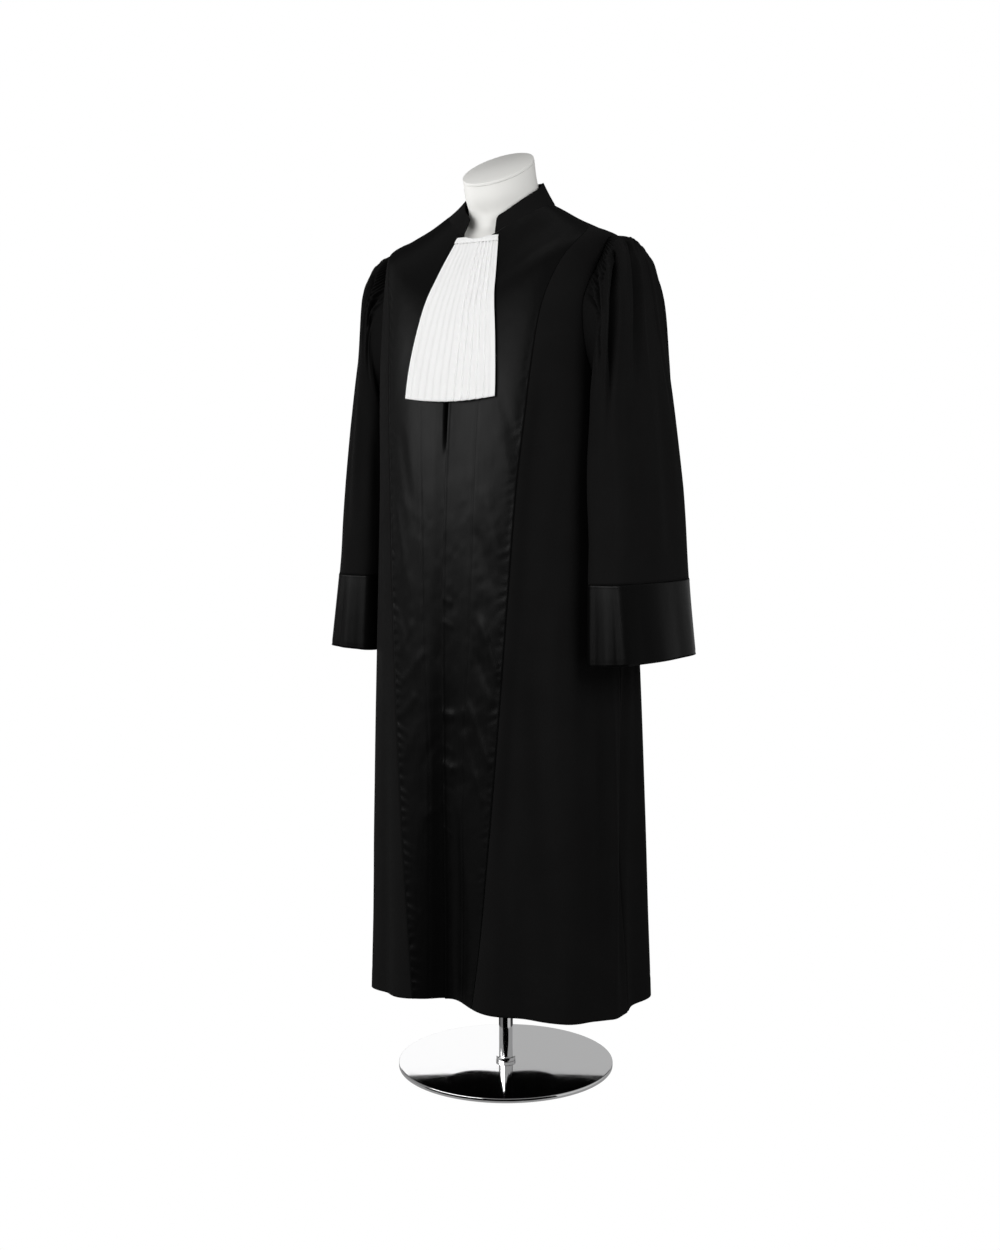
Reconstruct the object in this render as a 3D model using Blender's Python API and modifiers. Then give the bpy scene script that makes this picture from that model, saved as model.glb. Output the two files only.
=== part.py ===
"""A black judicial robe with a white pleated jabot, worn by a limbless dress form on a round stand.

Metres, +Z up. The origin is on the floor, on the stand's axis. The robe faces -Y, and the wearer's
left side is at +X. The cloth is one surface of closed rings from the neckline to the hem, and each
panel is a stretch of it between two seams, given a wall that grows inwards.
"""

import math
from collections import namedtuple

import bpy
from mathutils import Vector

# Driving dimensions
WALL = 0.0016
CUFF_WALL = 0.0020
CUFF_LIFT = 0.0006
COLLAR_WALL = 0.0024
JABOT_WALL = 0.0010
SEAM_GAP = 0.0004
SEAM_STRIP = 0.005
CORNER_GAPS = 8
FORM_CLEARANCE = 0.0008
FORM_SLACK = 0.008
FORM_SIDES = 36
FORM_SIDE_SLACK = 0.15

COLLAR_END_X = 0.031
COLLAR_RISE_FRONT = 0.043
COLLAR_LIFT = 0.0017
COLLAR_TOP_HALF_WIDTH = 0.0680
COLLAR_TOP_FRONT = 0.0780
COLLAR_TOP_BACK = 0.0645
COLLAR_TOP_Y = -0.008
COLLAR_TOP_SIDE_Z = 1.537
COLLAR_TOP_BACK_Z = 1.549
COLLAR_END_ROUNDING = math.radians(12)
COLLAR_END_DROP = 0.28
COLLAR_COLUMNS = 22

LAP_EDGE_X = -0.003
LAP_LEAN = -0.0145
LAP_LEAN_ROWS = (7.0, 12.0)
UNDERLAP_X = 0.022
UNDERLAP_RAMP = 0.025
UNDERLAP_MARGIN = 0.003
UNDERLAP_DROP = 0.0032

JABOT_TOP_Z = 1.4380
JABOT_BAND = 0.010
JABOT_BOTTOM_Z = 1.163
JABOT_TOP_HALF = 0.039
JABOT_BOTTOM_HALF = 0.087
JABOT_SHIFT = 0.001
JABOT_PLEATS = 11
JABOT_PLEAT_HEIGHT = 0.0018
JABOT_BORDER = 0.12
JABOT_SPREAD = 1.4
JABOT_LIFT_TOP = 0.0019
JABOT_LIFT_GAIN = 0.0040
JABOT_BAND_LIFT = 0.0009
JABOT_BAND_SPARE = 0.0005
JABOT_ROWS = 7
JABOT_BAND_COLUMNS = 12

GATHERS = 14
GATHER_REACH = math.radians(92)
GATHER_HEIGHT = 0.0020
GATHER_START = 0.6
GATHER_LENGTH = 1.8
COLUMNS_PER_GATHER = 4
UNDERARM_COLUMNS = 24

BASE_RADIUS = 0.190
BASE_THICKNESS = 0.008
STAND_EDGE = 0.0015
POLE_RADIUS = 0.0125
POLE_FOOT_RADIUS = 0.0175
POLE_FOOT_HEIGHT = 0.007

# Rings of the robe's outer surface. The front and back are distances from Y = 0. The satin columns
# are the angles of the front seams, in degrees from the middle of the front.
Ring = namedtuple("Ring", "half_width front back side_y z_front z_side z_back square satin_left satin_right")
BODY_TABLE = (
    Ring(0.078, 0.094, 0.072, -0.010, 1.434, 1.501, 1.516, 2.1, 90.0, 90.0),
    Ring(0.098, 0.102, 0.086, -0.006, 1.416, 1.491, 1.504, 2.2, 90.0, 90.0),
    Ring(0.132, 0.120, 0.102, -0.002, 1.380, 1.475, 1.483, 2.3, 90.0, 90.0),
    Ring(0.166, 0.134, 0.118, 0.000, 1.347, 1.461, 1.451, 2.5, 84.0, 84.0),
    Ring(0.204, 0.149, 0.136, 0.000, 1.309, 1.441, 1.406, 2.7, 60.0, 60.0),
    Ring(0.206, 0.162, 0.151, 0.000, 1.256, 1.371, 1.337, 2.8, 47.5, 47.8),
    Ring(0.208, 0.174, 0.163, 0.000, 1.194, 1.261, 1.247, 2.8, 42.3, 42.5),
    Ring(0.210, 0.181, 0.171, 0.000, 1.127, 1.161, 1.156, 2.7, 39.3, 40.2),
    Ring(0.212, 0.186, 0.179, 0.000, 1.021, 1.030, 1.025, 2.6, 35.5, 38.2),
    Ring(0.218, 0.189, 0.191, 0.000, 0.865, 0.865, 0.865, 2.5, 32.1, 36.0),
    Ring(0.226, 0.193, 0.206, 0.000, 0.668, 0.668, 0.668, 2.4, 28.0, 31.6),
    Ring(0.233, 0.197, 0.224, 0.000, 0.448, 0.448, 0.448, 2.3, 23.1, 26.2),
    Ring(0.239, 0.201, 0.240, 0.000, 0.265, 0.259, 0.260, 2.2, 18.6, 21.4),
    Ring(0.243, 0.204, 0.250, 0.000, 0.164, 0.136, 0.139, 2.2, 14.5, 18.8),
)
SHOULDER_TIP = 4.0
ARMPIT = 7.0
HEM = len(BODY_TABLE) - 1.0
SATIN_TOP = 2.5
CREPE_TOP = 2.62
ARMHOLE_OPENING = math.radians(21)
ARMHOLE_STEPS = 10

# Long soft folds of the skirt. Angles are at the hem, from the middle of the front, positive to the
# wearer's left. Heights are outwards, and each fold starts from nothing at start_z.
Fold = namedtuple("Fold", "angle lean height width start_z")
BODY_FOLDS = (
    Fold(0, 0, -0.034, 13, 0.95),
    Fold(23, 6, 0.010, 9, 0.80),
    Fold(40, 4, -0.007, 7, 0.85),
    Fold(55, 3, 0.009, 9, 1.00),
    Fold(67, 2, -0.005, 7, 0.80),
    Fold(79, 0, 0.006, 8, 0.85),
    Fold(-26, -6, 0.006, 9, 0.80),
    Fold(-39, -4, -0.006, 7, 0.90),
    Fold(-53, -3, 0.004, 9, 0.95),
    Fold(-66, -2, -0.006, 7, 0.85),
    Fold(-80, 0, 0.005, 8, 0.80),
    Fold(98, 0, -0.008, 7, 1.00),
    Fold(112, -2, 0.009, 8, 1.15),
    Fold(126, -3, -0.005, 7, 1.10),
    Fold(141, -4, 0.012, 8, 1.30),
    Fold(155, -3, -0.010, 6, 1.20),
    Fold(169, -1, 0.011, 7, 1.32),
    Fold(-177, 0, -0.010, 6, 1.25),
    Fold(-163, 2, 0.012, 8, 1.30),
    Fold(-148, 3, -0.011, 7, 1.15),
    Fold(-133, 4, 0.012, 8, 1.28),
    Fold(-117, 3, -0.009, 7, 1.10),
    Fold(-103, 1, 0.009, 8, 1.05),
    Fold(-92, 0, -0.005, 6, 0.90),
)

# Sections of a sleeve after its armhole seam, by their outermost and innermost points. The inner half
# is the squarer one, where the sleeve lies along the body.
Section = namedtuple("Section", "x_out z_out x_in z_in y_front y_back square square_in")
SLEEVE_TABLE = (
    Section(0.223, 1.4400, 0.214, 1.155, -0.086, 0.089, 2.1, 2.1),
    Section(0.245, 1.4340, 0.218, 1.137, -0.092, 0.099, 2.1, 2.5),
    Section(0.265, 1.3900, 0.220, 1.108, -0.098, 0.107, 2.2, 3.0),
    Section(0.280, 1.2897, 0.221, 1.059, -0.103, 0.111, 2.2, 3.8),
    Section(0.294, 1.1682, 0.222, 1.001, -0.107, 0.114, 2.2, 4.6),
    Section(0.309, 1.0303, 0.224, 0.943, -0.110, 0.115, 2.2, 5.0),
    Section(0.317, 0.9429, 0.226, 0.899, -0.113, 0.116, 2.2, 5.0),
    Section(0.321, 0.8726, 0.228, 0.869, -0.116, 0.118, 2.2, 5.0),
    Section(0.335, 0.7410, 0.231, 0.735, -0.122, 0.121, 2.2, 5.0),
)
SLEEVE_END = 7.0
CUFF_END = 8.0
HEAD_ROWS = (0.0, 0.5, 1.0, 1.7)
ARM_ROWS = (2.4, 3.2, 4.0, 5.0, 6.0, 7.0)

# Deep folds that run down from the sleeve's gathered head, by their angle from its top.
Crease = namedtuple("Crease", "angle drift depth width end")
SLEEVE_CREASES = (
    Crease(118, 4, 0.005, 7, 4.0),
    Crease(96, 4, 0.004, 6, 2.5),
    Crease(76, 6, 0.011, 8, 5.5),
    Crease(57, 5, 0.004, 6, 2.2),
    Crease(40, 8, 0.011, 9, 5.0),
    Crease(16, 4, 0.006, 8, 3.0),
    Crease(-14, -4, 0.009, 9, 4.5),
    Crease(-44, -6, 0.010, 9, 5.5),
    Crease(-72, -5, 0.006, 8, 3.5),
    Crease(-104, -4, 0.008, 8, 4.5),
)

# Rings of the dress form below the shoulders.
FormRing = namedtuple("FormRing", "half_width front back z_front z_side z_back square")
FORM_TABLE = (
    FormRing(0.190, 0.124, 0.112, 1.290, 1.431, 1.380, 2.4),
    FormRing(0.190, 0.126, 0.115, 1.238, 1.380, 1.322, 2.4),
    FormRing(0.178, 0.125, 0.116, 1.180, 1.290, 1.242, 2.3),
    FormRing(0.161, 0.119, 0.109, 1.118, 1.172, 1.144, 2.3),
    FormRing(0.146, 0.108, 0.098, 1.024, 1.034, 1.030, 2.2),
    FormRing(0.146, 0.104, 0.098, 0.938, 0.938, 0.938, 2.2),
    FormRing(0.158, 0.108, 0.112, 0.850, 0.850, 0.850, 2.2),
    FormRing(0.166, 0.110, 0.120, 0.780, 0.780, 0.780, 2.3),
    FormRing(0.164, 0.108, 0.118, 0.764, 0.764, 0.764, 2.3),
)
FORM_BOTTOM_Z = 0.760
FORM_BOTTOM_EDGE = 0.009

# Rings of the form's neck, from its sloping top down, by their middle, radius and slope.
NeckRing = namedtuple("NeckRing", "y z radius degrees")
NECK_TABLE = (
    NeckRing(-0.024, 1.556, 0.0600, 30),
    NeckRing(-0.018, 1.532, 0.0603, 28),
    NeckRing(-0.007, 1.507, 0.0600, 27),
    NeckRing(-0.004, 1.487, 0.0610, 26),
)
NECK_CAP_THICKNESS = 0.005
NECK_CAP_EDGE = 0.0012
FORM_SHOULDER_ROWS = (0.55, 1.0, 1.5, 2.0, 2.5, 3.0)

COLOURS = {
    "crepe": ((0.010, 0.010, 0.011), 0.85, 0.0),
    "satin": ((0.011, 0.011, 0.012), 0.35, 0.0),
    "jabot_cotton": ((0.86, 0.86, 0.86), 0.80, 0.0),
    "form_white": ((0.80, 0.80, 0.77), 0.45, 0.0),
    "chrome": ((0.75, 0.75, 0.76), 0.08, 1.0),
}


# Tables and smooth steps

def curve_through(rows):
    """A function that reads a table between its rows on a smooth curve that doesn't overshoot."""
    columns = list(zip(*rows))
    slopes = [column_slopes(column) for column in columns]
    kind = type(rows[0])
    last = len(rows) - 1

    def read(t):
        low = min(max(int(t), 0), last - 1)
        part = t - low
        return kind(*(
            hermite(column[low], column[low + 1], slope[low], slope[low + 1], part)
            for column, slope in zip(columns, slopes)
        ))

    return read


def column_slopes(values):
    steps = [after - before for before, after in zip(values, values[1:])]
    inner = [
        2 * left * right / (left + right) if left * right > 0 else 0.0
        for left, right in zip(steps, steps[1:])
    ]
    return [steps[0], *inner, steps[-1]]


def hermite(start, end, start_slope, end_slope, part):
    square = part * part
    cube = square * part
    return (
        (2 * cube - 3 * square + 1) * start
        + (cube - 2 * square + part) * start_slope
        + (3 * square - 2 * cube) * end
        + (cube - square) * end_slope
    )


def smooth_step(value):
    value = min(max(value, 0.0), 1.0)
    return value * value * (3 - 2 * value)


def bell(distance, width):
    return math.exp(-((distance / width) ** 2))


def turn_between(angle, other):
    """The shortest turn from one angle to another, in degrees."""
    return (angle - other + 180) % 360 - 180


body_ring = curve_through(BODY_TABLE)
sleeve_section = curve_through(SLEEVE_TABLE)


# The robe's outer surface

def fold_height(angle, z):
    degrees = math.degrees(angle)
    hem_z = BODY_TABLE[-1].z_side
    total = 0.0
    for fold in BODY_FOLDS:
        rise = min(max((z - hem_z) / (fold.start_z - hem_z), 0.0), 1.0)
        middle = fold.angle + fold.lean * rise
        total += fold.height * smooth_step(1 - rise) * bell(turn_between(degrees, middle), fold.width)
    return total


def body_point(angle, t):
    """A point of the robe. The angle is from the middle of the front towards the wearer's left."""
    ring = body_ring(t)
    side = math.sin(angle)
    ahead = math.cos(angle)
    depth = ring.front + ring.side_y if ahead > 0 else ring.back - ring.side_y
    reach = (
        (abs(side) / ring.half_width) ** ring.square + (abs(ahead) / depth) ** ring.square
    ) ** (-1 / ring.square)
    z_middle = ring.z_front if ahead > 0 else ring.z_back
    z = ring.z_side + (z_middle - ring.z_side) * ahead * ahead
    reach += fold_height(angle, z)
    return Vector((reach * side, ring.side_y - reach * ahead, z))


def body_normal(angle, t):
    turn = 0.01
    step = 0.02
    across = body_point(angle + turn, t) - body_point(angle - turn, t)
    down = body_point(angle, min(t + step, HEM)) - body_point(angle, max(t - step, 0.0))
    return down.cross(across).normalized()


def lifted_point(angle, t, lift):
    return body_point(angle, t) + body_normal(angle, t) * lift


def angle_at_x(t, x):
    """The angle at which the ring's front passes x."""
    ring = body_ring(t)
    share = min(abs(x) / ring.half_width, 1.0)
    depth = (ring.front + ring.side_y) * (1 - share ** ring.square) ** (1 / ring.square)
    return math.atan2(x, depth)


def front_place(x, z):
    """The angle and row of the front's point at x and z."""
    high, low = 0.0, HEM
    for _ in range(40):
        middle = (high + low) / 2
        if body_point(angle_at_x(middle, x), middle).z > z:
            high = middle
        else:
            low = middle
    return angle_at_x(high, x), high


def front_point(x, z, lift):
    angle, t = front_place(x, z)
    return lifted_point(angle, t, lift)


# Seams, as angles at each row

def lap_edge(t):
    """How far across the overlapping front edge lies. It leans a little towards the hem."""
    first, last = LAP_LEAN_ROWS
    return LAP_EDGE_X + LAP_LEAN * smooth_step((t - first) / (last - first))


def satin_seam(t, side):
    """The angle of the seam between the satin and the crepe, on the shoulder seam above its start."""
    if t <= SATIN_TOP:
        return math.pi / 2
    ring = body_ring(t)
    return math.radians(ring.satin_left if side > 0 else ring.satin_right)


def armhole_half_angle(t):
    middle = (SHOULDER_TIP + ARMPIT) / 2
    half = (ARMPIT - SHOULDER_TIP) / 2
    return ARMHOLE_OPENING * math.sqrt(max(0.0, 1 - ((t - middle) / half) ** 2))


def half_gap(t):
    return SEAM_GAP / 2 / body_ring(t).half_width


def panel_rows():
    """The rows that all panels share, closest together around the armhole's ends."""
    middle = (SHOULDER_TIP + ARMPIT) / 2
    half = (ARMPIT - SHOULDER_TIP) / 2
    above = [0.0, 0.5, 1.0, 1.5, 2.0, SATIN_TOP, CREPE_TOP, 3.0, 3.3, 3.65]
    beside = [
        middle - half * math.cos(math.pi * step / ARMHOLE_STEPS) for step in range(ARMHOLE_STEPS + 1)
    ]
    below = [7.5, 8.0, 8.5, 9.0, 9.5, 10.0, 10.5, 11.0, 11.5, 12.0, 12.5, HEM]
    return above + beside + below


ROWS = panel_rows()


# Meshes

def new_object(name, points, faces, material):
    mesh = bpy.data.meshes.new(name)
    mesh.from_pydata(points, [], faces)
    mesh.update()
    mesh.shade_smooth()
    mesh.materials.append(MATERIALS[material])
    piece = bpy.data.objects.new(name, mesh)
    COLLECTION.objects.link(piece)
    return piece


def give_wall(piece, wall):
    """Thicken an open surface inwards, away from its outer face."""
    solid = piece.modifiers.new("wall", "SOLIDIFY")
    solid.thickness = wall
    solid.offset = -1.0
    solid.use_even_offset = True


def grid_faces(rows, columns, first=0, closed=False, flipped=False):
    """Faces of a grid whose outer side shows, with rows running down and columns to the left."""
    faces = []
    for row in range(rows - 1):
        for column in range(columns if closed else columns - 1):
            beside = (column + 1) % columns
            a = first + row * columns + column
            b = first + row * columns + beside
            face = (a, a + columns, b + columns, b)
            faces.append(face[::-1] if flipped else face)
    return faces


def cloth(name, rows, material, wall):
    points = [point for row in rows for point in row]
    piece = new_object(name, points, grid_faces(len(rows), len(rows[0])), material)
    give_wall(piece, wall)
    return piece


def shares(count, left_strip, right_strip):
    """Places of a panel's columns from 0 to 1, with a narrow one along each sewn edge."""
    start, end = left_strip, 1 - right_strip
    inner = [start + (end - start) * step / count for step in range(count + 1)]
    if left_strip:
        inner = [0.0, *inner]
    if right_strip:
        inner = [*inner, 1.0]
    return inner


def panel(name, rows, left, right, columns, strips, material, lift=None):
    """Cloth between two seams. The seams are functions of the row, and strips says which are sewn."""
    grid = []
    for t in rows:
        start, end = left(t), right(t)
        width = (end - start) * body_ring(t).half_width
        strip = min(SEAM_STRIP / max(width, SEAM_STRIP), 1 / (columns + 2))
        places = shares(columns, strip if strips[0] else 0, strip if strips[1] else 0)
        line = []
        for share in places:
            angle = start + (end - start) * share
            line.append(lifted_point(angle, t, lift(angle, t)) if lift else body_point(angle, t))
        grid.append(line)
    return cloth(name, grid, material, WALL)


# The robe's panels

def satin_band(name, side):
    """The satin front. The wearer's left one laps over the right one, which dips under it."""
    if side > 0:
        panel(
            name, ROWS, lambda t: angle_at_x(t, lap_edge(t)), lambda t: satin_seam(t, 1) - half_gap(t),
            7, (False, True), "satin",
        )
        return
    grid = []
    for t in ROWS:
        lap = lap_edge(t)
        outer = half_gap(t) - satin_seam(t, -1)
        strip = outer + SEAM_STRIP / body_ring(t).half_width
        ramp = angle_at_x(t, lap - UNDERLAP_RAMP)
        dipped = angle_at_x(t, lap - UNDERLAP_MARGIN)
        edge = angle_at_x(t, lap + UNDERLAP_X)
        between = [strip + (ramp - strip) * step / 6 for step in range(7)]
        under = [dipped + (edge - dipped) * step / 3 for step in range(4)]
        line = [outer, *between, (ramp + dipped) / 2, *under]
        grid.append([lifted_point(angle, t, underlap_dip(angle, t)) for angle in line])
    cloth(name, grid, "satin", WALL)


def underlap_dip(angle, t):
    """How far the right front sinks as it nears the edge that laps over it."""
    run = body_point(angle, t).x - lap_edge(t) + UNDERLAP_RAMP
    return -UNDERLAP_DROP * smooth_step(run / (UNDERLAP_RAMP - UNDERLAP_MARGIN))


def crepe_front(name, side):
    rows = [t for t in ROWS if t >= CREPE_TOP]

    def inner(t):
        gaps = CORNER_GAPS + (1 - CORNER_GAPS) * smooth_step(t - SHOULDER_TIP)
        return satin_seam(t, side) + half_gap(t) * gaps

    def outer(t):
        return math.pi / 2 - armhole_half_angle(t) - half_gap(t)

    if side > 0:
        panel(name, rows, inner, outer, 8, (True, True), "crepe")
    else:
        panel(name, rows, lambda t: -outer(t), lambda t: -inner(t), 8, (True, True), "crepe")


def back():
    def left(t):
        return math.pi / 2 + armhole_half_angle(t) + half_gap(t)

    panel("back", ROWS, left, lambda t: 2 * math.pi - left(t), 16, (True, True), "crepe")


# The stand collar

def collar_top(angle):
    """The collar's upper edge lies close round the neck and drops towards the front."""
    side = math.sin(angle)
    ahead = math.cos(angle)
    depth = COLLAR_TOP_FRONT + COLLAR_TOP_Y if ahead > 0 else COLLAR_TOP_BACK - COLLAR_TOP_Y
    reach = ((side / COLLAR_TOP_HALF_WIDTH) ** 2 + (ahead / depth) ** 2) ** -0.5
    z_middle = BODY_TABLE[0].z_front + COLLAR_RISE_FRONT if ahead > 0 else COLLAR_TOP_BACK_Z
    z = COLLAR_TOP_SIDE_Z + (z_middle - COLLAR_TOP_SIDE_Z) * ahead ** 2
    return Vector((reach * side, COLLAR_TOP_Y - reach * ahead, z))


def collar():
    first = angle_at_x(0.0, COLLAR_END_X)
    last = 2 * math.pi - first
    near = [first + COLLAR_END_ROUNDING * share for share in (0.0, 0.12, 0.4, 1.0)]
    turn = (last - first - 2 * COLLAR_END_ROUNDING) / COLLAR_COLUMNS
    middle = [near[-1] + turn * step for step in range(1, COLLAR_COLUMNS)]
    angles = near + middle + [first + last - angle for angle in reversed(near)]
    grid = []
    for level in (1.0, 0.7, 0.35, 0.0):
        line = []
        for angle in angles:
            from_end = min(angle - first, last - angle)
            corner = 1 - min(from_end / COLLAR_END_ROUNDING, 1.0)
            height = level * (1 - COLLAR_END_DROP * (1 - math.sqrt(1 - corner * corner)))
            foot = body_point(angle, 0.0) + Vector((0, 0, COLLAR_LIFT))
            line.append(foot.lerp(collar_top(angle), height))
        grid.append(line)
    cloth("collar", grid, "crepe", COLLAR_WALL)


# The jabot

def jabot_half_width(z):
    fall = (JABOT_TOP_Z - z) / (JABOT_TOP_Z - JABOT_BOTTOM_Z)
    return JABOT_BOTTOM_HALF + (JABOT_TOP_HALF - JABOT_BOTTOM_HALF) * (1 - fall) ** JABOT_SPREAD


def jabot_lift(z):
    fall = (JABOT_TOP_Z - z) / (JABOT_TOP_Z - JABOT_BOTTOM_Z)
    return JABOT_LIFT_TOP + JABOT_LIFT_GAIN * fall


def jabot_columns():
    """Places across the jabot from -1 to 1 and their heights, for a flat border and knife pleats."""
    pleat = 2 * (1 - JABOT_BORDER) / JABOT_PLEATS
    columns = [(-1.0, 0.0)]
    for number in range(JABOT_PLEATS):
        start = -1 + JABOT_BORDER + pleat * number
        columns += [(start, 0.0), (start + pleat * 0.12, 1.0), (start + pleat * 0.6, 0.55)]
    return columns + [(1 - JABOT_BORDER, 0.0), (1.0, 0.0)]


def jabot():
    columns = jabot_columns()
    start = JABOT_TOP_Z - JABOT_BAND - SEAM_GAP
    grid = []
    for row in range(JABOT_ROWS + 1):
        z = start + (JABOT_BOTTOM_Z - start) * row / JABOT_ROWS
        half = jabot_half_width(z)
        grid.append([
            front_point(
                JABOT_SHIFT + place * half, z, jabot_lift(z) + JABOT_PLEAT_HEIGHT * height
            )
            for place, height in columns
        ])
    cloth("jabot", grid, "jabot_cotton", JABOT_WALL)


def jabot_band():
    grid = []
    for z in (JABOT_TOP_Z, JABOT_TOP_Z - JABOT_BAND):
        half = jabot_half_width(z) + JABOT_BAND_SPARE
        grid.append([
            front_point(
                JABOT_SHIFT + half * (2 * step / JABOT_BAND_COLUMNS - 1), z,
                jabot_lift(z) + JABOT_BAND_LIFT,
            )
            for step in range(JABOT_BAND_COLUMNS + 1)
        ])
    cloth("jabot_band", grid, "jabot_cotton", JABOT_WALL * 2)


# Sleeves and cuffs

def armhole_corner(step, side):
    """A corner of the armhole's edge, counted from the shoulder tip round the front."""
    turn = math.pi * step / ARMHOLE_STEPS
    middle = (SHOULDER_TIP + ARMPIT) / 2
    half = (ARMPIT - SHOULDER_TIP) / 2
    t = middle - half * math.cos(turn)
    opening = armhole_half_angle(t)
    if step % (2 * ARMHOLE_STEPS) > ARMHOLE_STEPS:
        opening = -opening
    return body_point(side * (math.pi / 2 - opening), t)


def armhole_edge(angle, side):
    """The armhole's edge, just inside the hole, at an angle from its top towards the front."""
    place = (angle % (2 * math.pi)) / math.pi * ARMHOLE_STEPS
    low = int(place)
    start = armhole_corner(low, side)
    end = armhole_corner((low + 1) % (2 * ARMHOLE_STEPS), side)
    edge = start.lerp(end, place - low)
    centre = (armhole_corner(0, side) + armhole_corner(ARMHOLE_STEPS, side)) / 2
    return edge + (centre - edge).normalized() * SEAM_GAP * 1.6


def gather_height(angle, u):
    """Small even gathers under the head's seam, which die out down the sleeve."""
    if abs(angle) > GATHER_REACH:
        return 0.0
    edge = smooth_step((GATHER_REACH - abs(angle)) / math.radians(15))
    fade = smooth_step(1 - (u - GATHER_START) / GATHER_LENGTH)
    uneven = 1 + 0.3 * math.sin(3.1 * angle + 1)
    return GATHER_HEIGHT * fade * edge * uneven * math.cos(GATHERS * math.pi * angle / GATHER_REACH)


def crease_depth(angle, u):
    degrees = math.degrees(angle)
    total = 0.0
    for crease in SLEEVE_CREASES:
        fall = u / crease.end
        if fall >= 1:
            continue
        middle = crease.angle + crease.drift * fall
        width = crease.width * (1 + 0.6 * fall)
        strength = smooth_step(u / 1.2) * smooth_step(1.15 * (1 - fall))
        total += crease.depth * strength * bell(turn_between(degrees, middle), width)
    return total


def sleeve_point(angle, u, side, lift=0.0):
    """A point of a sleeve. The angle is from its outer side towards the front."""
    section = sleeve_section(u)
    outward = math.cos(angle)
    forward = math.sin(angle)
    power = section.square if outward > 0 else section.square_in
    reach = (abs(outward) ** power + abs(forward) ** power) ** (-1 / power)
    top = Vector((section.x_out, 0.0, section.z_out))
    low = Vector((section.x_in, 0.0, section.z_in))
    along = (top - low) / 2
    spread = Vector((0.0, section.y_front if forward > 0 else -section.y_back, 0.0))
    arm = along * (reach * outward) + spread * (reach * forward)
    arm += arm.normalized() * (lift + gather_height(angle, u) - crease_depth(angle, u))
    point = (top + low) / 2 + arm
    return Vector((side * point.x, point.y, point.z))


def sleeve_angles():
    """Columns round a sleeve's head: some to each gather, and wider ones under the arm."""
    count = GATHERS * COLUMNS_PER_GATHER
    over = [GATHER_REACH * (1 - 2 * step / count) for step in range(count)]
    under_turn = 2 * math.pi - 2 * GATHER_REACH
    under = [-GATHER_REACH - under_turn * step / UNDERARM_COLUMNS for step in range(UNDERARM_COLUMNS)]
    return [(angle + math.pi) % (2 * math.pi) - math.pi for angle in over + under]


def sleeve(name, side):
    """A gathered head with fine columns, joined to the arm with half as many."""
    fine = sleeve_angles()
    coarse = fine[::2]
    points = [armhole_edge(angle, side) for angle in fine]
    for u in HEAD_ROWS:
        points += [sleeve_point(angle, u, side) for angle in fine]
    head_rows = len(HEAD_ROWS) + 1
    flipped = side < 0
    faces = grid_faces(head_rows, len(fine), closed=True, flipped=flipped)
    above = (head_rows - 1) * len(fine)
    below = head_rows * len(fine)
    for u in ARM_ROWS:
        points += [sleeve_point(angle, u, side) for angle in coarse]
    for column in range(len(coarse)):
        a = above + 2 * column
        b = above + (2 * column + 1) % len(fine)
        c = above + (2 * column + 2) % len(fine)
        d = below + (column + 1) % len(coarse)
        face = (a, below + column, d, c, b)
        faces.append(face[::-1] if flipped else face)
    faces += grid_faces(len(ARM_ROWS), len(coarse), first=below, closed=True, flipped=flipped)
    give_wall(new_object(name, points, faces, "crepe"), WALL)


def cuff(name, side):
    angles = sleeve_angles()[::2]
    start = SLEEVE_END + SEAM_GAP / (SLEEVE_TABLE[-2].z_out - SLEEVE_TABLE[-1].z_out) * 1.5
    points = []
    levels = (start, (start + CUFF_END) / 2, CUFF_END)
    for u in levels:
        points += [sleeve_point(angle, u, side, CUFF_LIFT) for angle in angles]
    faces = grid_faces(len(levels), len(angles), closed=True, flipped=side < 0)
    give_wall(new_object(name, points, faces, "satin"), CUFF_WALL)


# The dress form and its stand

def form_ring(row):
    points = []
    for step in range(FORM_SIDES):
        angle = 2 * math.pi * step / FORM_SIDES
        side = math.sin(angle)
        ahead = math.cos(angle)
        depth = row.front if ahead > 0 else row.back
        reach = (
            (abs(side) / row.half_width) ** row.square + (abs(ahead) / depth) ** row.square
        ) ** (-1 / row.square)
        z_middle = row.z_front if ahead > 0 else row.z_back
        z = row.z_side + (z_middle - row.z_side) * ahead * ahead
        points.append(Vector((reach * side, -reach * ahead, z)))
    return points


def neck_ring(row, lift=0.0, inset=0.0):
    """A ring round the neck, lower at the front by its slope. The lift is square to the ring."""
    slope = math.radians(row.degrees)
    centre = Vector((0, row.y - lift * math.sin(slope), row.z + lift * math.cos(slope)))
    radius = row.radius - inset
    points = []
    for step in range(FORM_SIDES):
        angle = 2 * math.pi * step / FORM_SIDES
        ahead = radius * math.cos(angle)
        points.append(centre + Vector((radius * math.sin(angle), -ahead, -ahead * math.tan(slope))))
    return points


def loft(name, rings, material):
    """Closed solid through rings of equal count, from the top one down, with flat ends."""
    count = len(rings[0])
    points = [point for ring in rings for point in ring]
    faces = grid_faces(len(rings), count, closed=True)
    last = (len(rings) - 1) * count
    faces.append(tuple(range(count)))
    faces.append(tuple(reversed(range(last, last + count))))
    piece = new_object(name, points, faces, material)
    piece.data.set_sharp_from_angle(angle=math.radians(40))
    return piece


def shoulder_point(angle, t):
    """The form touches the cloth along its shoulders and falls away from it before and behind."""
    slack = FORM_SLACK * (abs(math.cos(angle)) + FORM_SIDE_SLACK * abs(math.sin(2 * angle)))
    return lifted_point(angle, t, -WALL - FORM_CLEARANCE - slack)


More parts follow.
